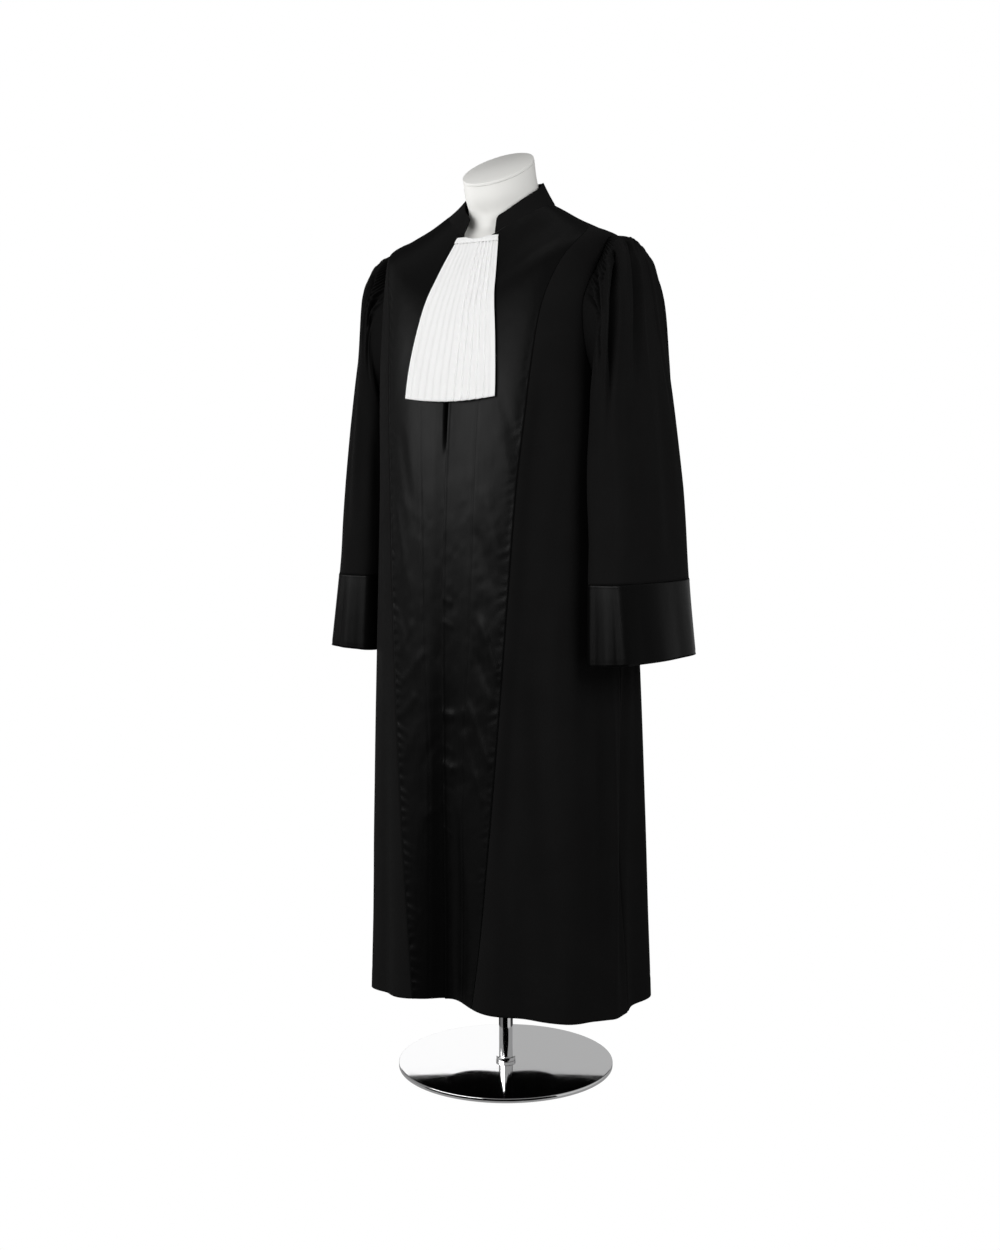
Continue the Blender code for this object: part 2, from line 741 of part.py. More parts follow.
def dress_form():
    rings = [neck_ring(row) for row in NECK_TABLE]
    for t in FORM_SHOULDER_ROWS:
        rings.append([shoulder_point(2 * math.pi * step / FORM_SIDES, t) for step in range(FORM_SIDES)])
    rings += [form_ring(row) for row in FORM_TABLE]
    last = FORM_TABLE[-1]
    rings.append(form_ring(last._replace(
        half_width=last.half_width - FORM_BOTTOM_EDGE,
        front=last.front - FORM_BOTTOM_EDGE,
        back=last.back - FORM_BOTTOM_EDGE,
        z_front=FORM_BOTTOM_Z, z_side=FORM_BOTTOM_Z, z_back=FORM_BOTTOM_Z,
    )))
    loft("form_torso", rings, "form_white")


def neck_cap():
    """A thin disc that closes the neck's sloping top."""
    top = NECK_TABLE[0]
    high = SEAM_GAP + NECK_CAP_THICKNESS
    loft(
        "form_neck_cap",
        [
            neck_ring(top, high, NECK_CAP_EDGE),
            neck_ring(top, high - NECK_CAP_EDGE),
            neck_ring(top, SEAM_GAP),
        ],
        "form_white",
    )


def turned(name, profile, steps, material):
    """A solid of revolution from (radius, height) points, listed from the top down."""
    points = [(radius, 0.0, height) for radius, height in profile]
    edges = [(index, index + 1) for index in range(len(points) - 1)]
    mesh = bpy.data.meshes.new(name)
    mesh.from_pydata(points, edges, [])
    mesh.materials.append(MATERIALS[material])
    piece = bpy.data.objects.new(name, mesh)
    COLLECTION.objects.link(piece)
    screw = piece.modifiers.new("turn", "SCREW")
    screw.axis = "Z"
    screw.steps = steps
    screw.render_steps = steps
    screw.use_merge_vertices = True
    screw.merge_threshold = 0.00005
    screw.use_smooth_shade = True
    return piece


def stand():
    edge = STAND_EDGE
    turned(
        "base_disc",
        [
            (0.0, BASE_THICKNESS),
            (BASE_RADIUS - edge, BASE_THICKNESS),
            (BASE_RADIUS, BASE_THICKNESS - edge),
            (BASE_RADIUS, edge),
            (BASE_RADIUS - edge, 0.0),
            (0.0, 0.0),
        ],
        56, "chrome",
    )
    foot = BASE_THICKNESS + SEAM_GAP
    top = FORM_BOTTOM_Z - SEAM_GAP
    turned(
        "pole",
        [
            (0.0, top),
            (POLE_RADIUS, top),
            (POLE_RADIUS, foot + POLE_FOOT_HEIGHT),
            (POLE_FOOT_RADIUS, foot + POLE_FOOT_HEIGHT - edge),
            (POLE_FOOT_RADIUS, foot),
            (0.0, foot),
        ],
        24, "chrome",
    )


def make_material(name):
    colour, roughness, metallic = COLOURS[name]
    material = bpy.data.materials.new(name)
    material.use_nodes = True
    shader = material.node_tree.nodes["Principled BSDF"]
    shader.inputs["Base Color"].default_value = (*colour, 1.0)
    shader.inputs["Roughness"].default_value = roughness
    shader.inputs["Metallic"].default_value = metallic
    return material


def clear_scene():
    for item in list(bpy.data.objects):
        bpy.data.objects.remove(item, do_unlink=True)


def build():
    satin_band("satin_left", 1)
    satin_band("satin_right", -1)
    crepe_front("front_left", 1)
    crepe_front("front_right", -1)
    back()
    collar()
    jabot()
    jabot_band()
    sleeve("sleeve_left", 1)
    sleeve("sleeve_right", -1)
    cuff("cuff_left", 1)
    cuff("cuff_right", -1)
    dress_form()
    neck_cap()
    stand()


clear_scene()
MATERIALS = {name: make_material(name) for name in COLOURS}
COLLECTION = bpy.data.collections.new("judicial_robe")
bpy.context.scene.collection.children.link(COLLECTION)
build()
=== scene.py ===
"""Looks for a black judicial robe with a white jabot, on a limbless dress form and a chrome stand.

Metres, +Z up. The robe faces -Y, and the wearer's left side is at +X. Each piece of cloth is a fine
shell over the form of its solid, with its folds, gathers, puckers and sewing in real sizes.
"""

import math
from collections import namedtuple

import bpy
import numpy as np
from mathutils import Matrix, Vector


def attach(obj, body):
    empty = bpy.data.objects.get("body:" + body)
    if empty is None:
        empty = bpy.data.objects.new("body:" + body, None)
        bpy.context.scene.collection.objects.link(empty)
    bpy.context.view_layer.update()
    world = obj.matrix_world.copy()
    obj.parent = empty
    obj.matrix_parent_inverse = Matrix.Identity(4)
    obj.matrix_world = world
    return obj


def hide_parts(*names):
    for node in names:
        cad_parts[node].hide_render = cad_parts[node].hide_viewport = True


def table(kind, rows):
    return tuple(kind(*row) for row in rows)


# Sizes shared with the solids
WALL = 0.0012
CUFF_WALL = 0.0018
COLLAR_WALL = 0.0024
COLLAR_EDGE = 0.0007
JABOT_WALL = 0.0005
BAND_WALL = JABOT_WALL * 3
SEAM_GAP = 0.0003
COLLAR_END_X = 0.031
COLLAR_FOOT = 0.07
COLLAR_TOP_HALF_WIDTH = 0.0660
COLLAR_TOP_FRONT = 0.0780
COLLAR_TOP_BACK = 0.0645
COLLAR_TOP_Y = -0.008
COLLAR_END_ROUNDING = math.radians(9)
COLLAR_END_DROP = 0.22
COLLAR_TOP_DEGREES = (0, 20, 30, 45, 60, 75, 90, 105, 120, 150, 180)
COLLAR_TOP_HEIGHTS = (1.468, 1.4745, 1.4790, 1.491, 1.503, 1.5140, 1.5220, 1.5305, 1.5390, 1.5430, 1.545)
COLLAR_FOOT_DEGREES = (0, 25, 45, 60, 80, 100, 125, 150, 180)
COLLAR_FOOT_ROWS = (0.0, 0.0, 0.45, 0.85, 0.95, 0.70, 0.40, 0.15, 0.0)
COLLAR_HOLLOW = 0.0014
COLLAR_HEIGHT = 0.034
COLLAR_WAVE = 0.0003
LAP_EDGE_X = -0.003
LAP_LEAN = -0.0145
LAP_LEAN_ROWS = (7.0, 12.0)
UNDERLAP_X = 0.022
UNDERLAP_RAMP = 0.025
UNDERLAP_MARGIN = 0.003
UNDERLAP_DROP = 0.0032
JABOT_TOP_Z = 1.4380
JABOT_BAND = 0.010
JABOT_BOTTOM_Z = 1.163
JABOT_TOP_HALF = 0.039
JABOT_BOTTOM_LEFT = 0.084
JABOT_BOTTOM_RIGHT = 0.0875
JABOT_SPREAD_LEFT = 1.9
JABOT_SPREAD_RIGHT = 1.63
JABOT_SHIFT = 0.001
JABOT_PLEATS = 11
JABOT_BORDER = 0.12
JABOT_PLEAT_HEIGHT = 0.0030
JABOT_PLEAT_CENTRE = 0.06
JABOT_PLEAT_TURN = 0.92
JABOT_PLEAT_COLUMNS = (0.0, 0.12, 0.24, 0.36, 0.48, 0.6, 0.7, 0.8, 0.87, 0.915, 0.94, 0.96, 0.98)
JABOT_BORDER_COLUMNS = 10
JABOT_ROUNDING = 0.0075
JABOT_LIFT_TOP = 0.0019
JABOT_LIFT_GAIN = 0.0040
JABOT_RIPPLE = 0.00012
JABOT_HEM = 0.0065
JABOT_HEM_THICKER = 0.0004
JABOT_SIDE_HEM = 0.005
JABOT_SIDE_HEM_THICKER = 0.0003
JABOT_HEM_STEP = 0.0012
BAND_WIDER = 0.0004
BAND_LIFT = 0.0011
BAND_SWELL = 0.0006
BAND_GATHER = 0.0003
BASE_RADIUS = 0.190
BASE_THICKNESS = 0.008
POLE_RADIUS = 0.0125
POLE_FOOT_RADIUS = 0.0175
POLE_FOOT_HEIGHT = 0.007
FORM_BOTTOM_Z = 0.760
STAND_EDGE = 0.0015
POLE_FOOT_EDGE = 0.0012
DISC_SIDES = 160
POLE_SIDES = 64
FORM_SHARP = math.radians(32)
CHROME_SHARP = math.radians(25)
CONTACT_GAP = 0.0004

# The camera
VIEW_AZIMUTH = math.radians(31.0)
VIEW_DISTANCE = 2.857
VIEW_HEIGHT = 1.04
VIEW_PITCH = math.radians(5.1)
VIEW_YAW = math.atan(6 / 1647)
LENS_MM = 47.43
SENSOR_MM = 36.0

# Rings of the robe's outer surface, from the neckline to the hem. The satin columns are the angles
# of the front seams, in degrees from the middle of the front.
Ring = namedtuple("Ring", "half_width front back side_y z_front z_side z_back square satin_left satin_right")
BODY_TABLE = table(Ring, (
    (0.078, 0.094, 0.072, -0.010, 1.434, 1.501, 1.516, 2.1, 90.0, 90.0),
    (0.098, 0.102, 0.086, -0.006, 1.416, 1.491, 1.504, 2.2, 90.0, 90.0),
    (0.132, 0.120, 0.102, -0.002, 1.380, 1.472, 1.483, 2.3, 90.0, 90.0),
    (0.166, 0.134, 0.118, 0.000, 1.347, 1.456, 1.451, 2.5, 84.0, 84.0),
    (0.204, 0.149, 0.136, 0.000, 1.309, 1.435, 1.406, 2.7, 60.0, 60.0),
    (0.206, 0.162, 0.151, 0.000, 1.256, 1.371, 1.337, 2.8, 47.5, 47.8),
    (0.208, 0.174, 0.163, 0.000, 1.194, 1.261, 1.247, 2.8, 42.3, 42.5),
    (0.210, 0.181, 0.171, 0.000, 1.127, 1.161, 1.156, 2.7, 39.3, 40.2),
    (0.212, 0.186, 0.179, 0.000, 1.021, 1.030, 1.025, 2.6, 35.5, 38.2),
    (0.218, 0.189, 0.191, 0.000, 0.865, 0.865, 0.865, 2.5, 32.1, 36.0),
    (0.226, 0.193, 0.206, 0.000, 0.668, 0.668, 0.668, 2.4, 28.0, 31.6),
    (0.233, 0.197, 0.224, 0.000, 0.448, 0.448, 0.448, 2.3, 23.1, 26.2),
    (0.239, 0.201, 0.240, 0.000, 0.265, 0.259, 0.260, 2.2, 18.6, 21.4),
    (0.243, 0.204, 0.250, 0.000, 0.164, 0.136, 0.139, 2.2, 14.5, 18.8),
))
SHOULDER_TIP = 4.0
ARMPIT = 7.0
HEM = len(BODY_TABLE) - 1.0
SATIN_TOP = 2.5
ARMHOLE_MIDDLE = (SHOULDER_TIP + ARMPIT) / 2
ARMHOLE_HALF = (ARMPIT - SHOULDER_TIP) / 2
ARMHOLE_OPENING = math.radians(21)

# Long soft folds of the skirt. Angles are at the hem, positive to the wearer's left.
Fold = namedtuple("Fold", "angle lean height width start_z")
BODY_FOLDS = table(Fold, (
    (0, 0, -0.034, 13, 0.95),
    (23, 6, 0.010, 9, 0.80),
    (40, 4, -0.007, 7, 0.85),
    (55, 3, 0.009, 9, 1.00),
    (67, 2, -0.005, 7, 0.80),
    (79, 0, 0.006, 8, 0.85),
    (-26, -6, 0.006, 9, 0.80),
    (-39, -4, -0.006, 7, 0.90),
    (-53, -3, 0.004, 9, 0.95),
    (-66, -2, -0.006, 7, 0.85),
    (-80, 0, 0.005, 8, 0.80),
    (98, 0, -0.008, 7, 1.00),
    (112, -2, 0.009, 8, 1.15),
    (126, -3, -0.005, 7, 1.10),
    (141, -4, 0.012, 8, 1.30),
    (155, -3, -0.010, 6, 1.20),
    (169, -1, 0.011, 7, 1.32),
    (-177, 0, -0.010, 6, 1.25),
    (-163, 2, 0.012, 8, 1.30),
    (-148, 3, -0.011, 7, 1.15),
    (-133, 4, 0.012, 8, 1.28),
    (-117, 3, -0.009, 7, 1.10),
    (-103, 1, 0.009, 8, 1.05),
    (-92, 0, -0.005, 6, 0.90),
))

# Shallow creases of the crepe between the long folds: from one angle and height to another.
Crease = namedtuple("Crease", "angle z angle_end z_end width height")
CREPE_CREASES = table(Crease, (
    (60, 1.16, 46, 0.72, 4.0, -0.0022),
    (70, 1.10, 60, 0.45, 4.5, -0.0020),
    (52, 0.98, 49, 0.30, 3.5, 0.0016),
    (42, 0.88, 52, 0.14, 5.0, -0.0105),
    (58, 0.86, 64, 0.14, 4.6, 0.0060),
    (75, 0.80, 75, 0.14, 3.0, -0.0085),
    (83, 0.78, 78, 0.14, 2.6, 0.0050),
    (97, 0.80, 84, 0.14, 3.6, -0.0100),
    (34, 0.78, 30, 0.17, 3.0, -0.0014),
    (-58, 1.18, -48, 0.60, 4.0, -0.0022),
    (-68, 1.00, -62, 0.35, 4.5, -0.0018),
    (-78, 0.95, -74, 0.15, 3.2, -0.0026),
    (-84, 0.88, -84, 0.15, 2.6, 0.0026),
    (-46, 0.70, -44, 0.16, 3.4, 0.0016),
    (108, 1.22, 104, 0.30, 3.6, -0.0026),
    (120, 1.30, 118, 0.18, 4.0, 0.0022),
    (134, 1.12, 132, 0.16, 3.2, -0.0024),
    (148, 1.34, 147, 0.40, 3.0, -0.0022),
    (162, 1.36, 161, 0.16, 2.8, 0.0022),
    (176, 1.30, 175, 0.20, 3.0, -0.0020),
    (-170, 1.34, -170, 0.30, 3.0, 0.0020),
    (-156, 1.25, -155, 0.16, 2.8, -0.0024),
    (-141, 1.36, -140, 0.50, 3.4, 0.0022),
    (-125, 1.16, -126, 0.16, 3.0, -0.0026),
    (-110, 1.28, -110, 0.34, 3.6, -0.0020),
    (-99, 1.02, -97, 0.16, 3.0, 0.0024),
))

# Wrinkles of the satin, in metres: x from the lapping edge, and height.
Wrinkle = namedtuple("Wrinkle", "x z x_end z_end width height")
SATIN_WRINKLES_LEFT = table(Wrinkle, (
    (-0.002, 0.842, 0.020, 0.836, 0.0050, 0.0006),
    (-0.002, 0.806, 0.022, 0.796, 0.0050, 0.0007),
    (-0.004, 0.653, 0.022, 0.646, 0.0080, 0.0017),
    (0.016, 0.646, 0.048, 0.660, 0.0080, 0.0012),
    (0.030, 0.622, 0.062, 0.640, 0.0090, -0.0009),
    (-0.004, 0.600, 0.022, 0.586, 0.0055, 0.0008),
    (-0.004, 0.568, 0.020, 0.556, 0.0085, 0.0021),
    (0.014, 0.554, 0.046, 0.570, 0.0080, 0.0014),
    (0.024, 0.530, 0.058, 0.546, 0.0090, -0.0009),
    (-0.004, 0.534, 0.024, 0.524, 0.0050, -0.0008),
    (-0.002, 0.502, 0.014, 0.478, 0.0045, 0.0009),
    (-0.002, 0.462, 0.016, 0.442, 0.0040, 0.0013),
    (-0.002, 0.392, 0.012, 0.380, 0.0040, 0.0005),
    (0.070, 0.816, 0.108, 0.712, 0.0075, 0.0019),
    (0.064, 0.760, 0.094, 0.690, 0.0070, -0.0011),
    (0.052, 0.676, 0.092, 0.574, 0.0070, 0.0017),
    (0.040, 0.650, 0.074, 0.560, 0.0070, -0.0010),
    (0.066, 0.560, 0.086, 0.506, 0.0055, 0.0010),
    (0.096, 1.170, 0.124, 1.090, 0.0090, -0.0006),
    (0.090, 1.120, 0.118, 1.040, 0.0100, 0.0006),
    (0.070, 1.020, 0.106, 0.900, 0.0110, 0.0012),
    (0.060, 0.960, 0.096, 0.850, 0.0090, -0.0011),
    (0.014, 0.700, 0.040, 0.520, 0.0120, -0.0016),
    (0.030, 0.520, 0.060, 0.330, 0.0140, 0.0012),
))
SATIN_WRINKLES_RIGHT = table(Wrinkle, (
    (-0.100, 1.120, -0.070, 0.990, 0.0110, -0.0010),
    (-0.112, 1.010, -0.080, 0.880, 0.0110, 0.0011),
    (-0.104, 0.850, -0.064, 0.760, 0.0090, -0.0009),
    (-0.098, 0.738, -0.060, 0.800, 0.0085, 0.0008),
    (-0.090, 0.690, -0.036, 0.752, 0.0075, 0.0008),
    (-0.086, 0.640, -0.050, 0.680, 0.0080, 0.0009),
    (-0.080, 0.560, -0.040, 0.640, 0.0090, 0.0008),
    (-0.036, 0.560, -0.016, 0.600, 0.0070, -0.0008),
    (-0.030, 0.470, -0.012, 0.490, 0.0060, 0.0006),
    (-0.050, 0.700, -0.030, 0.500, 0.0120, -0.0014),
))

# Sections of a sleeve after its armhole seam, by their outermost and innermost points.
Section = namedtuple("Section", "x_out z_out x_in z_in y_front y_back square square_in")
SLEEVE_TABLE = table(Section, (
    (0.223, 1.4340, 0.214, 1.155, -0.086, 0.089, 2.1, 2.1),
    (0.243, 1.4275, 0.218, 1.137, -0.092, 0.099, 2.1, 2.5),
    (0.265, 1.3900, 0.220, 1.108, -0.098, 0.107, 2.2, 3.0),
    (0.280, 1.2897, 0.221, 1.059, -0.103, 0.111, 2.2, 3.8),
    (0.294, 1.1682, 0.222, 1.001, -0.107, 0.114, 2.2, 4.6),
    (0.309, 1.0303, 0.224, 0.943, -0.110, 0.115, 2.2, 5.0),
    (0.317, 0.9429, 0.226, 0.899, -0.113, 0.116, 2.2, 5.0),
    (0.321, 0.8726, 0.228, 0.869, -0.116, 0.118, 2.2, 5.0),
    (0.335, 0.7460, 0.231, 0.737, -0.122, 0.121, 2.2, 5.0),
))
SLEEVE_END = 7.0
SLEEVE_CORNER = 0.012
CUFF_END = 8.0

# How much slimmer each sleeve is than its solid, on its outer side and at its front, row by row.
Trim = namedtuple("Trim", "outer front")
SLEEVE_ROWS = (0, 1, 2, 3, 4, 5, 6, 7, 8)
TRIM_LEFT = Trim(
    (0, 0.003, 0.007, 0.007, 0.003, 0.000, 0.000, 0.000, 0.000),
    (0, -0.006, -0.012, -0.012, -0.012, -0.012, -0.012, -0.012, -0.012),
)
TRIM_RIGHT = Trim(
    (0, 0.006, 0.012, 0.012, 0.010, 0.010, 0.010, 0.009, 0.008),
    (0, 0.003, 0.008, 0.012, 0.013, 0.014, 0.014, 0.014, 0.013),
)

# Folds of the sleeve: angle from its top towards the front and row, at both ends. Depth is inwards.
SleeveFold = namedtuple("SleeveFold", "angle u angle_end u_end width depth")
SLEEVE_FOLDS_LEFT = table(SleeveFold, (
    (35, 0.35, 45, 2.30, 5.6, 0.0190),
    (42, 1.30, 76, 3.70, 6.4, 0.0190),
    (44, 1.20, 66, 2.60, 2.4, 0.0070),
    (24, 0.60, 42, 3.60, 4.6, -0.0060),
    (11, 0.85, 28, 3.90, 4.6, 0.0220),
    (13, 1.00, 24, 2.90, 2.2, 0.0120),
    (63, 0.02, 88, 2.10, 3.6, 0.0150),
    (76, 0.02, 96, 2.60, 3.4, 0.0110),
    (50, 0.10, 56, 0.80, 2.4, 0.0060),
    (54, 0.20, 63, 0.90, 2.2, 0.0040),
    (30, 0.80, 36, 2.10, 2.4, 0.0046),
    (0, 0.80, 13, 2.35, 2.8, 0.0060),
    (-7, 0.60, -4, 1.90, 2.2, 0.0034),
    (76, 0.20, 112, 2.20, 3.6, 0.0050),
    (-9, 1.60, -24, 4.20, 2.4, 0.0030),
    (-30, 0.60, -48, 3.60, 5.0, 0.0120),
    (-44, 0.50, -60, 1.90, 2.6, 0.0050),
    (-56, 0.30, -78, 2.60, 4.6, 0.0090),
    (-80, 0.20, -104, 2.90, 4.6, 0.0070),
    (-20, 0.40, -28, 1.70, 2.4, 0.0040),
    (78, 2.60, 96, 6.60, 11.0, 0.0034),
    (30, 3.00, 44, 6.80, 10.0, 0.0040),
    (-4, 3.40, 6, 6.90, 9.0, 0.0026),
    (-52, 3.20, -60, 6.80, 12.0, 0.0050),
    (-96, 3.00, -110, 6.80, 12.0, 0.0045),
    (140, 2.60, 146, 6.60, 10.0, 0.0030),
))
SLEEVE_FOLDS_RIGHT = table(SleeveFold, (
    (50, 0.50, 72, 2.40, 5.6, 0.0120),
    (36, 0.70, 46, 2.90, 4.0, 0.0110),
    (22, 0.80, 27, 2.20, 3.0, 0.0080),
    (66, 0.10, 84, 1.20, 3.4, 0.0090),
    (8, 0.70, 12, 3.20, 4.0, 0.0110),
    (-6, 0.60, -10, 1.90, 2.4, 0.0050),
    (78, 0.20, 106, 2.00, 3.6, 0.0050),
    (-22, 0.50, -34, 3.40, 4.6, 0.0110),
    (-38, 0.50, -50, 2.00, 2.6, 0.0060),
    (-52, 0.30, -70, 2.90, 5.0, 0.0100),
    (-76, 0.20, -98, 2.60, 4.6, 0.0070),
    (70, 2.80, 84, 6.60, 11.0, 0.0030),
    (24, 3.00, 30, 6.80, 9.0, 0.0034),
    (-14, 3.20, -18, 6.90, 10.0, 0.0034),
    (-60, 3.20, -72, 6.80, 12.0, 0.0045),
    (-104, 3.00, -112, 6.80, 12.0, 0.0040),
    (132, 2.60, 140, 6.60, 10.0, 0.0030),
))
SleevePlan = namedtuple("SleevePlan", "folds trim seed")
SLEEVE_PLANS = {
    1: SleevePlan(SLEEVE_FOLDS_LEFT, TRIM_LEFT, 0.4),
    -1: SleevePlan(SLEEVE_FOLDS_RIGHT, TRIM_RIGHT, 2.2),
}
SQUARE_BLEND = 0.75
GATHER_STEP = 3.6
GATHER_FIRST = -84.0
GATHER_LAST = 82.0
GATHER_HEIGHT = 0.0017
GATHER_FADE = 10.0
SLEEVE_SWELL = 0.34
SLEEVE_WAVE = 0.0007

# Rows and columns of the meshes
COLUMNS_PER_GATHER = 8
PLAIN_COLUMNS = 80
HEAD_FIRST_ROWS = (0.0, 0.01, 0.025, 0.05, 0.08, 0.12, 0.17)
HEAD_ROWS = np.linspace(0.22, 2.2, 38)
ARM_START = 2.25
ARM_ROW_COUNT = 70
CUFF_COLUMNS = 200
CUFF_ROW_COUNT = 34
CREPE_GRID = (300, 52)
BACK_GRID = (240, 124)
COLLAR_GRID = (28, 220)
BAND_GRID = (14, 220)
JABOT_ROW_COUNT = 100

# The flat cloth that shows of each piece, all round on a tube: width, length and area.
Cut = namedtuple("Cut", "width length area held rests_on")


# Tables and smooth steps

def row_reader(rows):
    """A function that reads rows of numbers on smooth curves that don't overshoot."""
    table = np.array(rows, dtype=float)
    steps = np.diff(table, axis=0)
    slopes = np.empty_like(table)
    slopes[0] = steps[0]
    slopes[-1] = steps[-1]
    total = steps[:-1] + steps[1:]
    product = steps[:-1] * steps[1:]
    slopes[1:-1] = np.where(product > 0, 2 * product / np.where(total == 0, 1, total), 0.0)

    def read(t):
        t = np.asarray(t, dtype=float)
        low = np.clip(t.astype(int), 0, len(table) - 2)
        part = (t - low).reshape(t.shape + (1,) * (table.ndim - 1))
        square = part * part
        cube = square * part
        return (
            (2 * cube - 3 * square + 1) * table[low]
            + (cube - 2 * square + part) * slopes[low]
            + (3 * square - 2 * cube) * table[low + 1]
            + (cube - square) * slopes[low + 1]
        )

    return read


def curve_through(rows):
    kind = type(rows[0])
    read = row_reader(rows)
    return lambda t: kind(*np.moveaxis(read(t), -1, 0))


def smooth_step(value):
    value = np.clip(value, 0.0, 1.0)
    return value * value * (3 - 2 * value)


def bell(distance, width):
    return np.exp(-((distance / width) ** 2))


def turn_between(angle, other):
    return (angle - other + 180) % 360 - 180


def blend(start, end, share):
    return start + (end - start) * share


def oval_reach(side, ahead, half_width, depth, power):
    """Distance from the middle of an oval to its edge. A higher power makes it squarer."""
    return ((np.abs(side) / half_width) ** power + (np.abs(ahead) / depth) ** power) ** (-1 / power)


body_ring = curve_through(BODY_TABLE)
sleeve_section = curve_through(SLEEVE_TABLE)


# The robe's outer surface

def fold_height(angle, z):
    """Long folds, which are deepest at the hem."""
    degrees = np.degrees(angle)
    hem_z = BODY_TABLE[-1].z_side
    total = np.zeros_like(z)
    for fold in BODY_FOLDS:
        rise = np.clip((z - hem_z) / (fold.start_z - hem_z), 0.0, 1.0)
        middle = fold.angle + fold.lean * rise
        total += fold.height * smooth_step(1 - rise) * bell(turn_between(degrees, middle), fold.width)
    return total


def body_surface(angle, t):
    """Points of the robe. The angle is from the middle of the front to the wearer's left."""
    ring = body_ring(t)
    side = np.sin(angle)
    ahead = np.cos(angle)
    depth = np.where(ahead > 0, ring.front + ring.side_y, ring.back - ring.side_y)
    reach = oval_reach(side, ahead, ring.half_width, depth, ring.square)
    z_middle = np.where(ahead > 0, ring.z_front, ring.z_back)
    z = ring.z_side + (z_middle - ring.z_side) * ahead * ahead
    reach = reach + fold_height(angle, z)
    return np.stack([reach * side, ring.side_y - reach * ahead, z], axis=-1)


def angle_at_x(t, x):
    """The angle at which the ring's front passes x."""
    ring = body_ring(t)
    share = np.minimum(np.abs(x) / ring.half_width, 1.0)
    depth = (ring.front + ring.side_y) * (1 - share ** ring.square) ** (1 / ring.square)
    return np.arctan2(x, depth)


def lap_edge(t):
    first, last = LAP_LEAN_ROWS
    return LAP_EDGE_X + LAP_LEAN * smooth_step((t - first) / (last - first))


def satin_seam(t, side):
    ring = body_ring(t)
    seam = np.radians(ring.satin_left if side > 0 else ring.satin_right)
    return np.where(t <= SATIN_TOP, math.pi / 2, seam)


def armhole_half_angle(t):
    return ARMHOLE_OPENING * np.sqrt(np.maximum(0.0, 1 - ((t - ARMHOLE_MIDDLE) / ARMHOLE_HALF) ** 2))


def front_skew(height):
    """The front of the armhole is cut narrower towards the shoulder. The height is from -1 to 1."""
    return 1.14 - 0.62 * smooth_step((height - 0.05) / 0.8)


def armhole_front_angle(t):
    return armhole_half_angle(t) * front_skew((ARMHOLE_MIDDLE - t) / ARMHOLE_HALF)


# Grids of points, with rows running down and columns to the wearer's left

def grid_normals(points, closed=False):
    if closed:
        across = np.roll(points, -1, axis=1) - np.roll(points, 1, axis=1)
    else:
        across = np.gradient(points, axis=1)
    down = np.gradient(points, axis=0)
    normal = np.cross(down, across)
    length = np.linalg.norm(normal, axis=-1, keepdims=True)
    return normal / np.maximum(length, 1e-12)


def raised(points, heights, closed=False):
    return points + grid_normals(points, closed) * heights[..., None]


def lengths_across(points):
    steps = np.linalg.norm(np.diff(points, axis=1), axis=-1)
    start = np.zeros((len(points), 1))
    return np.concatenate([start, np.cumsum(steps, axis=1)], axis=1)


def even_rows(angle_of_row, first, last, count):
    """Rows at even distances along a line down the robe."""
    t = np.linspace(first, last, 600)
    line = body_surface(angle_of_row(t), t)
    steps = np.linalg.norm(np.diff(line, axis=0), axis=-1)
    along = np.concatenate([[0.0], np.cumsum(steps)])
    return np.interp(np.linspace(0, along[-1], count), along, t)


def edge_shares(count, closeness):
    """Places from 0 to 1 that lie closer together towards both ends."""
    even = np.linspace(0, 1, count)
    return even - closeness * np.sin(2 * math.pi * even) / (2 * math.pi)


def stroke(x, y, line_start, line_end, width, height):
    """A soft straight ridge, or a trough where the height is negative, that fades at both ends."""
    run_x = line_end[0] - line_start[0]
    run_y = line_end[1] - line_start[1]
    length = math.hypot(run_x, run_y)
    along = ((x - line_start[0]) * run_x + (y - line_start[1]) * run_y) / length ** 2
    off = ((x - line_start[0]) * run_y - (y - line_start[1]) * run_x) / length
    fade = smooth_step(along * 3 + 0.35) * smooth_step((1 - along) * 3 + 0.35)
    return height * fade * bell(off, width)


# Reliefs of the panels

# Soft ridges beside an edge, and troughs where the height is negative, by their distance from it.
Band = namedtuple("Band", "place width height")
SEAM_BANDS = (Band(0.0, 0.0016, -0.0011), Band(0.006, 0.004, 0.0003))
FOLDED_EDGE_BANDS = (Band(0.0016, 0.0040, 0.0002), Band(0.0, 0.0007, -0.0004))
STITCHED_BANDS = (Band(0.0, 0.0016, -0.0005), Band(0.0045, 0.0025, 0.0002))
HEM_LINE_BANDS = (Band(0.036, 0.0018, -0.0003),)
COLLAR_SEAM_BANDS = (Band(0.034, 0.0022, -0.0009),)
CUFF_TOP_BANDS = (Band(0.0, 0.004, 0.0005), Band(0.0, 0.0012, -0.0009))
CUFF_END_BANDS = (Band(0.004, 0.0014, -0.0004),)

# The strip of a lower piece that goes under the edge of the one over it.
UNDER_STRIP = 0.0045
UNDER_STRIP_DEPTH = 0.0016
UNDER_STRIP_TURN = 0.0015

# The trough of the crepe beside the wearer's left satin.
TROUGH_DEPTH = 0.0088
TROUGH_PLACE = 0.031
TROUGH_WIDTH_NEAR = 0.017
TROUGH_WIDTH_FAR = 0.036

HEM_THICKER = 0.0002
WAVE_HEIGHT = 0.0009
CRUMPLE_LARGE = Band(0.0, 0.026, 0.00040)
CRUMPLE_SMALL = Band(0.0, 0.012, 0.00024)
NOISE_SHAPE = (64, 512)


def band_relief(distance, bands):
    return sum(band.height * bell(distance - band.place, band.width) for band in bands)


